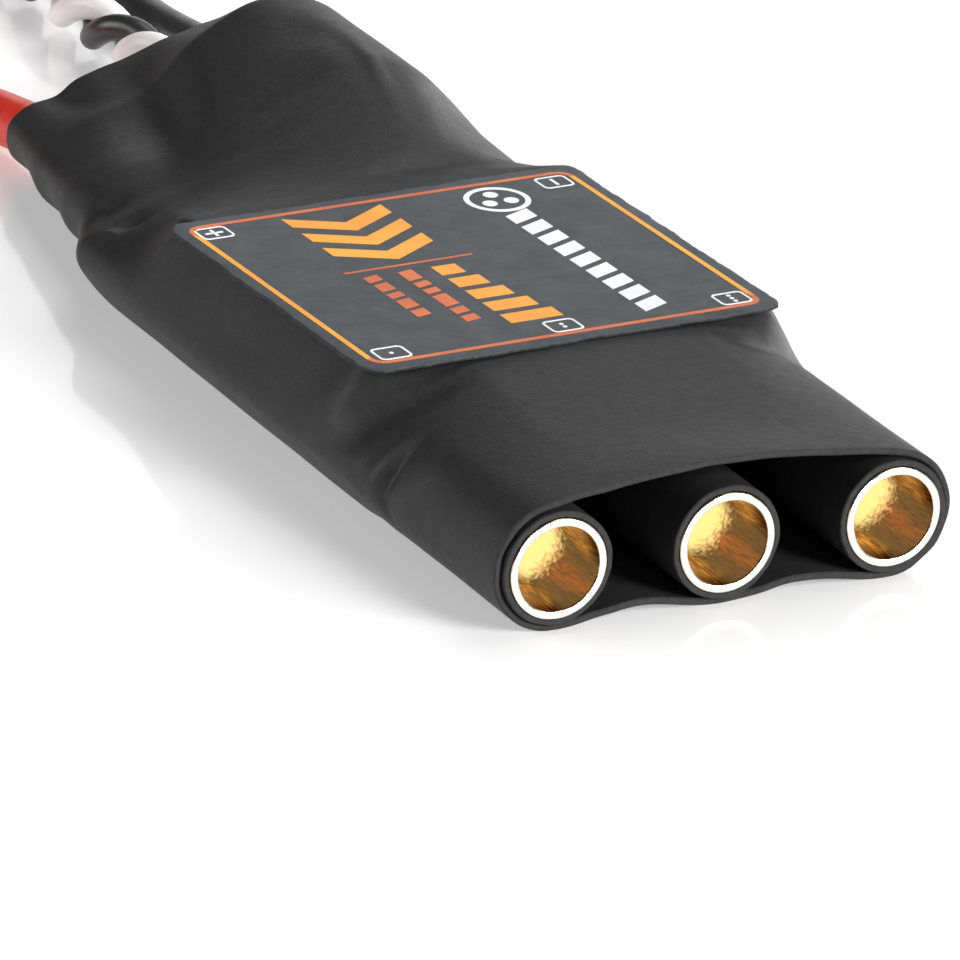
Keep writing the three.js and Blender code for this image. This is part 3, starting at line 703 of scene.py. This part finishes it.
def printed(name, outlines, finish):
    """Flat marks on the label, each a closed outline, or an outline and its hole, in (u, v)."""
    curve = bpy.data.curves.new(name, "CURVE")
    curve.dimensions = "2D"
    curve.fill_mode = "BOTH"
    for outline in outlines:
        spline = curve.splines.new("POLY")
        spline.points.add(len(outline) - 1)
        for point, (u, v) in zip(spline.points, outline):
            point.co = (u, v, 0, 1)
        spline.use_cyclic_u = True
    shape = bpy.data.objects.new(name + "_outline", curve)
    mesh = bpy.data.meshes.new_from_object(shape)
    flat = np.array([vertex.co for vertex in mesh.vertices])
    faces = [tuple(face.vertices) for face in mesh.polygons]
    bpy.data.objects.remove(shape)
    bpy.data.curves.remove(curve)
    bpy.data.meshes.remove(mesh)
    height = LABEL_FACE - label_droop(flat[:, 0], flat[:, 1])
    upper = on_label(flat[:, 0], flat[:, 1], height + PRINT_DEPTH)
    lower = on_label(flat[:, 0], flat[:, 1], height - PRINT_DEPTH)
    count = len(flat)
    edges = [pair for face in faces for pair in zip(face, face[1:] + face[:1])]
    known = set(edges)
    walls = [(b, a, a + count, b + count) for a, b in edges if (b, a) not in known]
    under = [tuple(index + count for index in face[::-1]) for face in faces]
    piece = new_piece(name, np.concatenate([upper, lower]), faces + walls + under, [finish], False)
    return place(piece, "label_film")


def ring_outline(middle, radius, squash=1.0, count=40):
    angles = np.linspace(0, 2 * np.pi, count, endpoint=False)
    return np.stack([middle[0] + radius * np.cos(angles),
                     middle[1] + radius * squash * np.sin(angles)], -1)


def slanted_bar(u, v, width, length, slant=0.0):
    """A bar from (u, v), width across and length to the front, its sides leaning by slant."""
    far = v - slant
    return np.array([(u, v), (u + width, far), (u + width, far - length), (u, v - length)])


def chevron(u, v, span, depth, weight):
    """An arrow-head that points to the front, its tip at (u, v)."""
    low, high = v + depth, v + depth + weight
    return np.array([(u, v), (u + span, low), (u + span, high), (u, v + weight),
                     (u - span, high), (u - span, low)])


def border_line():
    """The printed frame: its two long sides a deeper orange than the two short ones."""
    outer = rounded_outline(LABEL_HALF[0] - 0.62, LABEL_HALF[1] - 0.62, 0.7, 0.1)
    inner = rounded_outline(LABEL_HALF[0] - 0.86, LABEL_HALF[1] - 0.86, 0.5, 0.1)
    count = len(outer)
    at = np.linspace(0, len(inner), count, endpoint=False)
    inner = np.stack([np.interp(at, np.arange(len(inner) + 1), np.append(inner[:, k], inner[0, k]))
                      for k in range(2)], -1)
    rows = []
    for line, rise in ((outer, -PRINT_DEPTH), (outer, PRINT_DEPTH), (inner, PRINT_DEPTH),
                       (inner, -PRINT_DEPTH)):
        rows.append(on_label(*line.T, LABEL_FACE - label_droop(*line.T) + rise))
    points = np.array(rows)
    faces = grid_faces(4, count, True, True)
    deep = [int(abs(outer[face[0] % count][1]) > LABEL_HALF[1] - 1.4) for face in faces]
    piece = new_piece("printed_border", points, faces, [ORANGE_INK, DEEP_ORANGE_INK], False, deep)
    return place(piece, "label_film")


def boxed_marks():
    """Small white boxes by the border: plus and minus by the leads, dots by the sockets."""
    outlines = []
    for u, v, kind in ((-8.0, 7.2, "plus"), (7.8, 7.1, "minus"), (-7.7, -7.2, 1), (0.1, -7.2, 2),
                       (7.9, -7.2, 3)):
        box_outer = rounded_outline(0.72, 0.62, 0.25, 0.06) + (u, v)
        box_inner = rounded_outline(0.62, 0.52, 0.18, 0.06) + (u, v)
        outlines += [box_outer, box_inner]
        if kind in ("plus", "minus"):
            outlines.append(slanted_bar(u - 0.07, v + 0.34, 0.14, 0.68))
        if kind == "plus":
            outlines.append(slanted_bar(u - 0.4, v + 0.07, 0.3, 0.14))
            outlines.append(slanted_bar(u + 0.1, v + 0.07, 0.3, 0.14))
        if isinstance(kind, int):
            for dot in range(kind):
                outlines.append(ring_outline((u, v + (dot - (kind - 1) / 2) * 0.3), 0.1, 1, 12))
    return printed("printed_boxes", outlines, WHITE_INK)


def printed_marks():
    border_line()
    boxed_marks()
    mark_u, mark_v = 4.6, 6.2
    round_mark = [ring_outline((mark_u, mark_v), 1.4), ring_outline((mark_u, mark_v), 1.16)]
    for turn in range(3):
        angle = math.radians(90 + 120 * turn)
        dot = (mark_u + 0.58 * math.cos(angle), mark_v + 0.58 * math.sin(angle))
        round_mark.append(ring_outline(dot, 0.32, 1, 20))
    printed("printed_winding_mark", round_mark, WHITE_INK)
    stripes = [slanted_bar(3.95, 4.35 - 1.32 * index, 1.25, 0.92, -0.5) for index in range(9)]
    printed("printed_stripes", stripes, WHITE_INK)
    arrows = [chevron(-2.45, 1.75 + 1.75 * index, 2.3, 1.3, 0.98) for index in range(3)]
    printed("printed_arrows", arrows, ORANGE_INK)
    levels = [slanted_bar(-1.7, 0.45 - 1.42 * index, 1.1 + 0.32 * index, 0.98)
              for index in range(5)]
    printed("printed_levels", levels, ORANGE_INK)
    rows = []
    for u, dashes in ((-3.25, (1.0, 0.5, 0.5, 1.2, 0.6, 0.6)), (-4.85, (0.6, 0.8, 0.5, 0.9, 0.7))):
        at = 0.4
        for dash in dashes:
            rows.append(slanted_bar(u, at, 0.7, dash, -0.15))
            at -= dash + 0.28
    printed("printed_dashes", rows, DEEP_ORANGE_INK)
    printed("printed_rule", [slanted_bar(-5.3, 1.2, 5.9, 0.13)], DEEP_ORANGE_INK)


# ---------- motor sockets


# Of the bands between the points of a barrel's profile, those of the bore and of the front ring.
BORE_BANDS = 7
RIM_BANDS = (8, 9, 10)


def motor_socket(letter, x):
    """The plated barrel: a front ring in a near-white copy of the gold, a painted highlight, a
    blind bore, and a cup at the rear, half open where it lies on the board."""
    profile = [
        (0.02, BORE_END + 0.26), (0.7, BORE_END + 0.18), (1.3, BORE_END + 0.08),
        (SOCKET_BORE - 0.1, BORE_END + 0.02), (SOCKET_BORE, BORE_END - 0.1),
        (SOCKET_BORE, FRONT + 2.6), (SOCKET_BORE, FRONT + 1), (SOCKET_BORE, FRONT + 0.08), 
        (SOCKET_BORE + 0.02, FRONT + 0.03), (SOCKET_BORE + 0.05, FRONT),
        (SOCKET_RADIUS - 0.07, FRONT), (SOCKET_RADIUS - 0.02, FRONT + 0.03),
        (SOCKET_RADIUS, FRONT + 0.09), (SOCKET_RADIUS, FRONT + 1), (SOCKET_RADIUS, BARREL_END),
        (SOCKET_RADIUS - 0.08, BARREL_END + 0.28), (CUP_RADIUS + 0.06, BARREL_END + 0.3),
        (CUP_RADIUS, BARREL_END + 0.24), (CUP_RADIUS, CUP_START + 0.1), (0.02, CUP_START),
    ]
    sides = 96
    points = turned(profile, sides, (x, SOCKET_HEIGHT)).reshape(-1, 3)
    faces = grid_faces(len(profile), sides, False, True)
    bands = [index // sides for index in range(len(faces))]
    # Number 2, the bore, takes the wall with painted glow and painted shade.
    metal = [1 if band in RIM_BANDS else 2 if band < BORE_BANDS else 0 for band in bands]
    faces += end_caps(len(profile), sides)
    metal += [2, 0]
    cup, cup_faces = half_cup(x)
    faces += [tuple(index + len(points) for index in face) for face in cup_faces]
    metal += [0] * len(cup_faces)
    points = np.concatenate([points, cup])
    # The front ring takes the near-white copy of the gold, a painted highlight.
    metals = [FINISH["socket_gold"], RIM_GOLD_PAINTED_HIGHLIGHT, BORE_WALL_PAINTED_LIGHT]
    socket = new_piece(f"socket_{letter}_barrel", points, faces, metals, True, metal)
    socket.modifiers.new("crisp_edges", "EDGE_SPLIT").split_angle = math.radians(50)
    return place(socket, "socket_gold", f"motor_socket_{letter}")


def half_cup(x):
    """The open upper half of the barrel's tail, whose lower edges lie on the board."""
    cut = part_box("power_board")[1][2] / MM + 0.05 - SOCKET_HEIGHT
    rows = []
    start, steps = BARREL_END + 0.25, 12
    for y in np.linspace(start, TAIL_END, steps):
        section = []
        for radius, backwards in ((SOCKET_RADIUS, False), (CUP_RADIUS, True)):
            low = math.asin(cut / radius)
            angles = np.linspace(low, np.pi - low, 25)
            angles = angles[::-1] if backwards else angles
            section += [(x + radius * math.cos(angle), y, SOCKET_HEIGHT + radius * math.sin(angle))
                        for angle in angles]
        rows.append(section)
    columns = len(rows[0])
    faces = grid_faces(steps, columns, False, True)
    faces += end_caps(steps, columns)
    return np.array(rows).reshape(-1, 3), faces


def socket_sleeve(letter, x, seed):
    """The thin shrunk tube round one barrel, its front edge cut a little unevenly."""
    inner, outer = SOCKET_SLEEVE_RADII
    front, rear = FRONT + 0.03, BARREL_END
    profile = [(inner, rear), (inner, front + 0.03), (inner + 0.02, front), (outer - 0.04, front)]
    profile += [(outer, y) for y in (front + 0.05, front + 0.5, front + 2, front + 5, rear)]
    sides = 96
    points = turned(profile, sides, (x, SOCKET_HEIGHT))
    ragged = 0.05 * ripple(points[:1], 2.5, seed) + 0.03 * ripple(points[:1], 0.9, seed + 1)
    share = smooth_step((front + 1 - points[..., 1]) / 1)
    points[..., 1] += share * (ragged + 0.05)
    faces = grid_faces(len(profile), sides, True, True)
    cut = [int(1 <= index // sides <= 3) for index in range(len(faces))]
    # The cut front edge takes the darker copy of the heat-shrink, painted shade.
    finishes = [FINISH["heat_shrink"], CUT_EDGE_PAINTED_SHADE]
    tube = new_piece(f"socket_{letter}_tube", points, faces, finishes, True, cut)
    crisp_rings(tube, sides, (1, 2, 3, 4))
    return place(tube, "heat_shrink", f"socket_sleeve_{letter}")


# ---------- leads


def run(start, end, count):
    """count points evenly from start to end, the start left out."""
    return [tuple(np.array(start) + (np.array(end) - np.array(start)) * (step + 1) / count)
            for step in range(count)]


def fold(centre, radius, start_degrees, end_degrees, low, high, count=12):
    """Points round the end of a hank, in metres, rising from low to high; the first left out."""
    made = []
    for step in range(1, count + 1):
        share = step / count
        angle = math.radians(start_degrees + (end_degrees - start_degrees) * share)
        rise = low + (high - low) * smooth_step(share)
        made.append((centre[0] + radius * math.cos(angle),
                     centre[1] + radius * math.sin(angle), float(rise)))
    return made


def between(t, start, end, first, second):
    """The value at t on the straight way from first, at start, to second, at end."""
    return (end - t) / (end - start) * first + (t - start) / (end - start) * second


def smooth_line(route, step=0.0003):
    """A dense line on a centripetal Catmull-Rom curve through the route's points."""
    points = np.array(route, float)
    points = np.concatenate([[2 * points[0] - points[1]], points, [2 * points[-1] - points[-2]]])
    line = []
    for index in range(1, len(points) - 2):
        near = points[index - 1:index + 3]
        spans = np.linalg.norm(np.diff(near, axis=0), axis=1)
        knots = np.concatenate([[0], np.cumsum(spans ** 0.5)])
        count = max(2, int(np.linalg.norm(near[2] - near[1]) / step))
        t = np.linspace(knots[1], knots[2], count, endpoint=False)[:, None]
        level = near
        for reach in (1, 2):
            level = [between(t, knots[k], knots[k + reach], level[k], level[k + 1])
                     for k in range(4 - reach)]
        line.append(between(t, knots[1], knots[2], *level))
    return np.concatenate([*line, [points[-2]]])


def cord_curve(name, line, radius_mm, slot):
    """A round cord along a dense line in metres."""
    curve = bpy.data.curves.new(name, "CURVE")
    curve.dimensions = "3D"
    curve.bevel_depth = radius_mm * MM
    curve.bevel_resolution = 6
    curve.use_fill_caps = True
    spline = curve.splines.new("POLY")
    spline.points.add(len(line) - 1)
    weighted = np.concatenate([line, np.ones((len(line), 1))], axis=1)
    spline.points.foreach_set("co", weighted.ravel())
    spline.use_smooth = True
    curve.materials.append(FINISH[slot])
    cord = bpy.data.objects.new(name, curve)
    SCENE.collection.objects.link(cord)
    return place(cord, slot)


def tinned_tip(name, end, heading):
    """The stripped, tinned strands at a lead's bare end, twisted together, with a rounded nose."""
    rows, sides, strands = 40, 84, 7
    length = 2.6
    along = np.linspace(-0.5, length, rows)
    angles = np.linspace(0, 2 * np.pi, sides, endpoint=False)
    nose = np.sqrt(np.clip(1 - ((along - (length - 0.5)) / 0.5).clip(0, 1) ** 2, 0.02, 1))
    radius = (0.72 + 0.07 * np.cos(strands * (angles[None] - along[:, None] * 0.9))) * nose[:, None]
    points = np.stack([end[0] / MM + radius * np.cos(angles),
                       end[1] / MM + heading * np.broadcast_to(along[:, None], radius.shape),
                       end[2] / MM + radius * np.sin(angles)], -1)
    faces = grid_faces(rows, sides, False, True)
    faces += [tuple(range(sides))[::-1], tuple(range((rows - 1) * sides, rows * sides))]
    if heading < 0:
        faces = [face[::-1] for face in faces]
    tip = new_piece(name, points, faces, [FINISH["solder_tin"]])
    return place(tip, "solder_tin")


LOW_LEVEL = 0.0016
HIGH_LEVEL = 0.00395
POWER_FOLD = 0.0073
PAIR_FOLD = 0.0036
TIP_Y = 0.0545


def power_leads():
    red = list(RED_LEAD_ROUTE)
    red += run(red[-1], (-0.008, 0.084, LOW_LEVEL), 6)
    red += fold((-0.0007, 0.084), POWER_FOLD, 180, 0, LOW_LEVEL, LOW_LEVEL)
    red += run(red[-1], (0.0066, TIP_Y, LOW_LEVEL), 6)
    black = list(BLACK_LEAD_ROUTE)
    black += run(black[-1], (0.009, 0.068, LOW_LEVEL), 4)
    black += [(0.009, 0.073, 0.0023), (0.009, 0.078, 0.0034), (0.009, 0.084, HIGH_LEVEL)]
    black += fold((0.0017, 0.084), POWER_FOLD, 0, 180, HIGH_LEVEL, HIGH_LEVEL)
    black += [(-0.0056, 0.0795, 0.0033), (-0.0056, 0.075, 0.0022), (-0.0056, 0.071, LOW_LEVEL)]
    black += run(black[-1], (-0.0056, TIP_Y, LOW_LEVEL), 4)
    for name, route, exit_point in (("red", red, RED_EXIT), ("black", black, BLACK_EXIT)):
        line = smooth_line(route)
        lead = cord_curve(f"{name}_power_lead", line, POWER_LEAD_RADIUS, f"{name}_silicone")
        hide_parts(f"power_lead_{name}", "lead_hank")
        tip = tinned_tip(f"{name}_lead_tip", line[-1], -1)


CONTACT_Y = 0.0625
CONTACT_Z = float(connector_low[2] + connector_high[2]) / 2 * MM
CONTACT_X = (-0.00304, 0.00204)
TWIST_START = 0.004


def twist_along(along, axis):
    """Turns of the pair at each point of its line: close turns up to the hank, slower ones on the
    hank's straight runs, and none on its folds, where the wires lie one over the other."""
    def reached(y, after=0.0):
        found = np.flatnonzero((axis[:, 1] >= y) & (along > after))
        return along[found[0]]

    def came_back(y, after):
        found = np.flatnonzero((axis[:, 1] <= y) & (along > after))
        return along[found[0]]

    hank = reached(0.048)
    turns = round((hank - TWIST_START) / (TWIST_PITCH * MM))
    knots = [(TWIST_START, 0.0), (hank, turns)]
    upright = turns + 0.25
    first_far = reached(0.076, hank)
    first_near = came_back(0.055, first_far + 0.005)
    second_far = reached(0.076, first_near + 0.005)
    fold_length = math.pi * PAIR_FOLD
    for start in (first_far, first_near, second_far):
        upright += 2
        knots += [(start, upright), (start + fold_length, upright)]
    knots.append((along[-1] - 0.009, math.ceil(upright)))
    turned_by = np.interp(along, *np.transpose(knots))
    width = 13
    padded = np.pad(turned_by, width // 2, mode="edge")
    return np.convolve(padded, np.ones(width) / width, mode="valid")


def signal_pair():
    """The two signal wires: side by side on the board, then twisted round one shared line."""
    route = list(SIGNAL_PAIR_ROUTE)
    route += run(route[-1], (0.0039, 0.076, LOW_LEVEL), 5)
    route += fold((0.0003, 0.076), PAIR_FOLD, 0, 180, LOW_LEVEL, LOW_LEVEL)
    route += run(route[-1], (-0.0033, 0.055, LOW_LEVEL), 4)
    route += fold((0.0003, 0.055), PAIR_FOLD, 180, 360, LOW_LEVEL, HIGH_LEVEL)
    route += run(route[-1], (0.0039, 0.076, HIGH_LEVEL), 4)
    route += fold((0.0003, 0.076), PAIR_FOLD, 0, 180, HIGH_LEVEL, HIGH_LEVEL)
    route += [(-0.0031, 0.0735, 0.0041), (-0.0022, 0.0705, 0.0052), (-0.0009, 0.0675, 0.0065)]
    middle = (CONTACT_X[0] + CONTACT_X[1]) / 2
    route += [(middle, 0.0655, CONTACT_Z), (middle, CONTACT_Y, CONTACT_Z)]
    axis = smooth_line(route)
    along = np.concatenate([[0], np.cumsum(np.linalg.norm(np.diff(axis, axis=0), axis=1))])
    heading = np.gradient(axis, axis=0)
    heading /= np.linalg.norm(heading, axis=1, keepdims=True)
    side = np.cross(heading, (0, 0, 1))
    side /= np.linalg.norm(side, axis=1, keepdims=True)
    above = np.cross(side, heading)
    left = along[-1] - along
    turned_by = twist_along(along, axis)
    angle = 2 * np.pi * turned_by
    part = smooth_step((0.0065 - left) / 0.005)
    reach = PAIR_RADIUS * MM * (1 - part) + part * (CONTACT_X[1] - CONTACT_X[0]) / 2
    offset = reach[:, None] * (np.cos(angle)[:, None] * side + np.sin(angle)[:, None] * above)
    for name, sign in (("white", -1), ("black", 1)):
        line = axis + sign * offset
        wire = cord_curve(f"{name}_signal_wire", line, SIGNAL_WIRE_RADIUS, f"{name}_silicone")
        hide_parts(f"signal_wire_{name}", "lead_hank")


# ---------- signal connector and tie


def pierced_block(name, low, high, hollows, finish, slot, nodes, bevel):
    """A rounded block with straight square ways through it along Y."""
    xs = sorted({low[0], high[0], *[edge for hollow in hollows for edge in hollow[:2]]})
    zs = sorted({low[2], high[2], *[edge for hollow in hollows for edge in hollow[2:]]})
    front, back = low[1], high[1]
    index = {}
    faces = []

    def wall(*corners):
        faces.append([index.setdefault(corner, len(index)) for corner in corners])

    def solid(i, k):
        if not (0 <= i < len(xs) - 1 and 0 <= k < len(zs) - 1):
            return False
        x, z = (xs[i] + xs[i + 1]) / 2, (zs[k] + zs[k + 1]) / 2
        return not any(a < x < b and c < z < d for a, b, c, d in hollows)

    for i, k in np.ndindex(len(xs) - 1, len(zs) - 1):
        if not solid(i, k):
            continue
        x0, x1, z0, z1 = xs[i], xs[i + 1], zs[k], zs[k + 1]
        wall((x0, front, z0), (x1, front, z0), (x1, front, z1), (x0, front, z1))
        wall((x0, back, z1), (x1, back, z1), (x1, back, z0), (x0, back, z0))
        if not solid(i - 1, k):
            wall((x0, front, z1), (x0, back, z1), (x0, back, z0), (x0, front, z0))
        if not solid(i + 1, k):
            wall((x1, front, z0), (x1, back, z0), (x1, back, z1), (x1, front, z1))
        if not solid(i, k - 1):
            wall((x0, back, z0), (x1, back, z0), (x1, front, z0), (x0, front, z0))
        if not solid(i, k + 1):
            wall((x0, front, z1), (x1, front, z1), (x1, back, z1), (x0, back, z1))
    points = list(index)
    block = new_piece(name, points, faces, [finish], False)
    rounding = block.modifiers.new("rounded_edges", "BEVEL")
    rounding.width = bevel * MM
    rounding.segments = 3
    rounding.limit_method = "ANGLE"
    return place(block, slot, *nodes)


def signal_connector():
    middle = (connector_low[0] + connector_high[0]) / 2
    centre_z = (connector_low[2] + connector_high[2]) / 2
    hollows = [(middle + way - 0.85, middle + way + 0.85, centre_z - 0.85, centre_z + 0.85)
               for way in (-2.54, 0, 2.54)]
    pierced_block("connector_housing", connector_low, connector_high, hollows,
                  FINISH["connector_nylon"], "connector_nylon", ["signal_connector"], 0.15)
    for side in ("signal", "ground"):
        node, name = f"{side}_contact", f"{side}_terminal"
        low, high = (np.array(corner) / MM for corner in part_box(node))
        x, z = (low[0] + high[0]) / 2, (low[2] + high[2]) / 2
        pierced_block(name, low, high, [(x - 0.4, x + 0.4, z - 0.4, z + 0.4)],
                      FINISH["socket_gold"], "socket_gold", [node], 0.08)


def hank_tie():
    """A strap pulled tight round the folded leads."""
    low, thick = 0.45, 0.36
    still = (0, 1, 0, 0)
    low_level, high_level = LOW_LEVEL / MM, HIGH_LEVEL / MM
    held = [(-8.0, low_level, POWER_LEAD_RADIUS), (9.0, 2.5, POWER_LEAD_RADIUS),
            (-5.6, 2.0, POWER_LEAD_RADIUS), (6.6, low_level, POWER_LEAD_RADIUS),
            (3.9, high_level, 1.25), (-3.0, high_level + 0.15, 1.25)]
    discs = [(*disc, *still) for disc in held]
    around = 300
    line = evenly(*wrapped(discs, np.zeros(1), 9.0), around)[0]
    line[:, 1] = np.maximum(line[:, 1], low)
    ring = np.stack([line[:, 0], np.zeros(around), line[:, 1]], -1)[None]
    ring = np.concatenate([ring, ring + (0, 1, 0)])
    normal = grid_normals(ring)[0]
    inner = ring[0] + normal * 0.03
    half = 2.0
    middle = (tie_low[1] + tie_high[1]) / 2
    section = [(0, -half + 0.08), (0, half - 0.08), (0.06, half), (thick - 0.08, half),
               (thick, half - 0.1), (thick, 0.7), (thick, -0.7), (thick, -half + 0.1),
               (thick - 0.08, -half), (0.06, -half)]
    rows = np.array([inner + normal * out + (0, middle + along, 0) for out, along in section])
    rows[..., 2] = np.maximum(rows[..., 2], 0.02)
    faces = grid_faces(len(section), around, True, True)
    strap = new_piece("tie_strap", rows, faces, [FINISH["tie_fabric"]])
    return place(strap, "tie_fabric", "hank_tie")


# ---------- capacitor


def bulk_capacitor():
    """The wrapped can: a crimp groove by its bung, and a scored metal end showing at the rear."""
    x, z = (can_low[0] + can_high[0]) / 2, (can_low[2] + can_high[2]) / 2
    front, rear = can_low[1], can_high[1]
    groove = [(0.02, 0), (3.55, 0), (3.8, 0.06), (3.95, 0.2), (4, 0.45), (4, 1.1), (3.9, 1.35),
              (3.68, 1.5), (3.66, 1.65), (3.9, 1.85), (4, 2.1), (4, 5)]
    rolled = [(4, 0.5), (3.93, 0.2), (3.75, 0.04), (3.4, 0), (3.1, 0.02), (3.06, 0.1)]
    wrap = [(radius, front + in_by) for radius, in_by in groove]
    wrap += [(radius, rear - in_by) for radius, in_by in rolled]
    sides = 96
    angles = np.linspace(0, 2 * np.pi, sides, endpoint=False)
    body = turned(wrap, sides, (x, z))
    end_rows = []
    for radius in (3.05, 2.6, 2.1, 1.6, 1.1, 0.6, 0.15):
        ring = np.stack([x + radius * np.cos(angles), np.full(sides, rear - 0.12),
                         z + radius * np.sin(angles)], -1)
        across = np.abs(radius * np.cos(angles))
        up = np.abs(radius * np.sin(angles))
        score = np.exp(-(np.minimum(across, up) / 0.16) ** 2) * (radius < 2.4)
        ring[:, 1] -= 0.12 * score
        end_rows.append(ring)
    rows = np.concatenate([body, end_rows])
    faces = grid_faces(len(rows), sides, False, True)
    metal = [int(index // sides >= len(wrap) - 1) for index in range(len(faces))]
    faces += end_caps(len(rows), sides)
    metal += [0, 1]
    finishes = [FINISH["capacitor_wrap"], CAN_METAL]
    can = new_piece("capacitor_can", rows, faces, finishes, True, metal)
    return place(can, "capacitor_wrap", "bulk_capacitor")


# ---------- carried-over pieces


def finish_carried_over():
    """Gives every CAD node that still shows its slot's finish."""
    slots = {part["node"]: part["material_slot"] for part in frame["record"]["subparts"]}
    for name, node in frame["nodes"].items():
        if node.hide_render:
            continue
        finish = FINISH[slots[name]]
        if not node.material_slots:
            node.data.materials.append(finish)
        for slot in node.material_slots:
            slot.material = finish


# ---------- floor, light and camera


def floor():
    size = 1.2
    mesh = bpy.data.meshes.new("floor")
    corners = [(-size, -size, 0), (size, -size, 0), (size, size, 0), (-size, size, 0)]
    mesh.from_pydata(corners, [], [(0, 1, 2, 3)])
    pale = new_material("floor_finish", (0.75, 0.75, 0.75), 0.1, Emission_Color=(1, 1, 1, 1),
                        Emission_Strength=0.34)
    mottle(pale, (0.74, 0.74, 0.74), (0.76, 0.76, 0.76), 40.0)
    mesh.materials.append(pale)
    plane = bpy.data.objects.new("floor", mesh)
    SCENE.collection.objects.link(plane)


def soft_sun(name, azimuth, elevation, irradiance, width):
    """A broad light from one direction, in degrees: azimuth from the rear towards the right."""
    data = bpy.data.lights.new(name, "SUN")
    data.energy = irradiance
    data.angle = math.radians(width)
    lamp = bpy.data.objects.new(name, data)
    across, up = math.radians(azimuth), math.radians(elevation)
    level = math.cos(up)
    towards = Vector((level * math.sin(across), level * math.cos(across), math.sin(up)))
    lamp.rotation_mode = "QUATERNION"
    lamp.rotation_quaternion = towards.to_track_quat("Z", "Y")
    SCENE.collection.objects.link(lamp)


def lighting():
    world = bpy.data.worlds.new("studio")
    world.use_nodes = True
    world.node_tree.nodes["Background"].inputs["Color"].default_value = (1, 1, 1, 1)
    world.node_tree.nodes["Background"].inputs["Strength"].default_value = 0.02
    SCENE.world = world
    soft_sun("key_front_right", 150, 24, 4.15, 30)
    soft_sun("front_low", 184, 8, 1.15, 16)
    soft_sun("low_right", 60, 8, 0.85, 24)
    soft_sun("high_right", 60, 62, 1.05, 40)
    soft_sun("left_rear", 296, 20, 1.4, 30)
    soft_sun("low_rear", 30, 15, 0.25, 30)
    SCENE.view_settings.view_transform = "Standard"


CAMERA_PLACE = (-0.1853, -0.35045, 0.15656)
CAMERA_RIGHT = Vector((0.88868, -0.45618, 0.04623))
CAMERA_UP = Vector((0.13405, 0.35491, 0.92524))
CAMERA_LENS = 389.9


def camera():
    data = bpy.data.cameras.new("camera")
    data.sensor_width = 36
    data.lens = CAMERA_LENS
    data.clip_start, data.clip_end = 0.01, 10
    eye = bpy.data.objects.new("camera", data)
    right = CAMERA_RIGHT.normalized()
    up = (CAMERA_UP - right * CAMERA_UP.dot(right)).normalized()
    back = right.cross(up)
    eye.matrix_world = Matrix((
        (right.x, up.x, back.x, CAMERA_PLACE[0]),
        (right.y, up.y, back.y, CAMERA_PLACE[1]),
        (right.z, up.z, back.z, CAMERA_PLACE[2]),
        (0, 0, 0, 1),
    ))
    SCENE.collection.objects.link(eye)
    SCENE.camera = eye


camera()
floor()
lighting()
signal_connector()
power_leads()
signal_pair()
hank_tie()
heat_shrink_sleeve()
label_film()
printed_marks()
for number, side_letter in enumerate("abc"):
    motor_socket(side_letter, (number - 1) * SOCKET_PITCH)
    socket_sleeve(side_letter, (number - 1) * SOCKET_PITCH, 41 + 2 * number)
bulk_capacitor()
finish_carried_over()
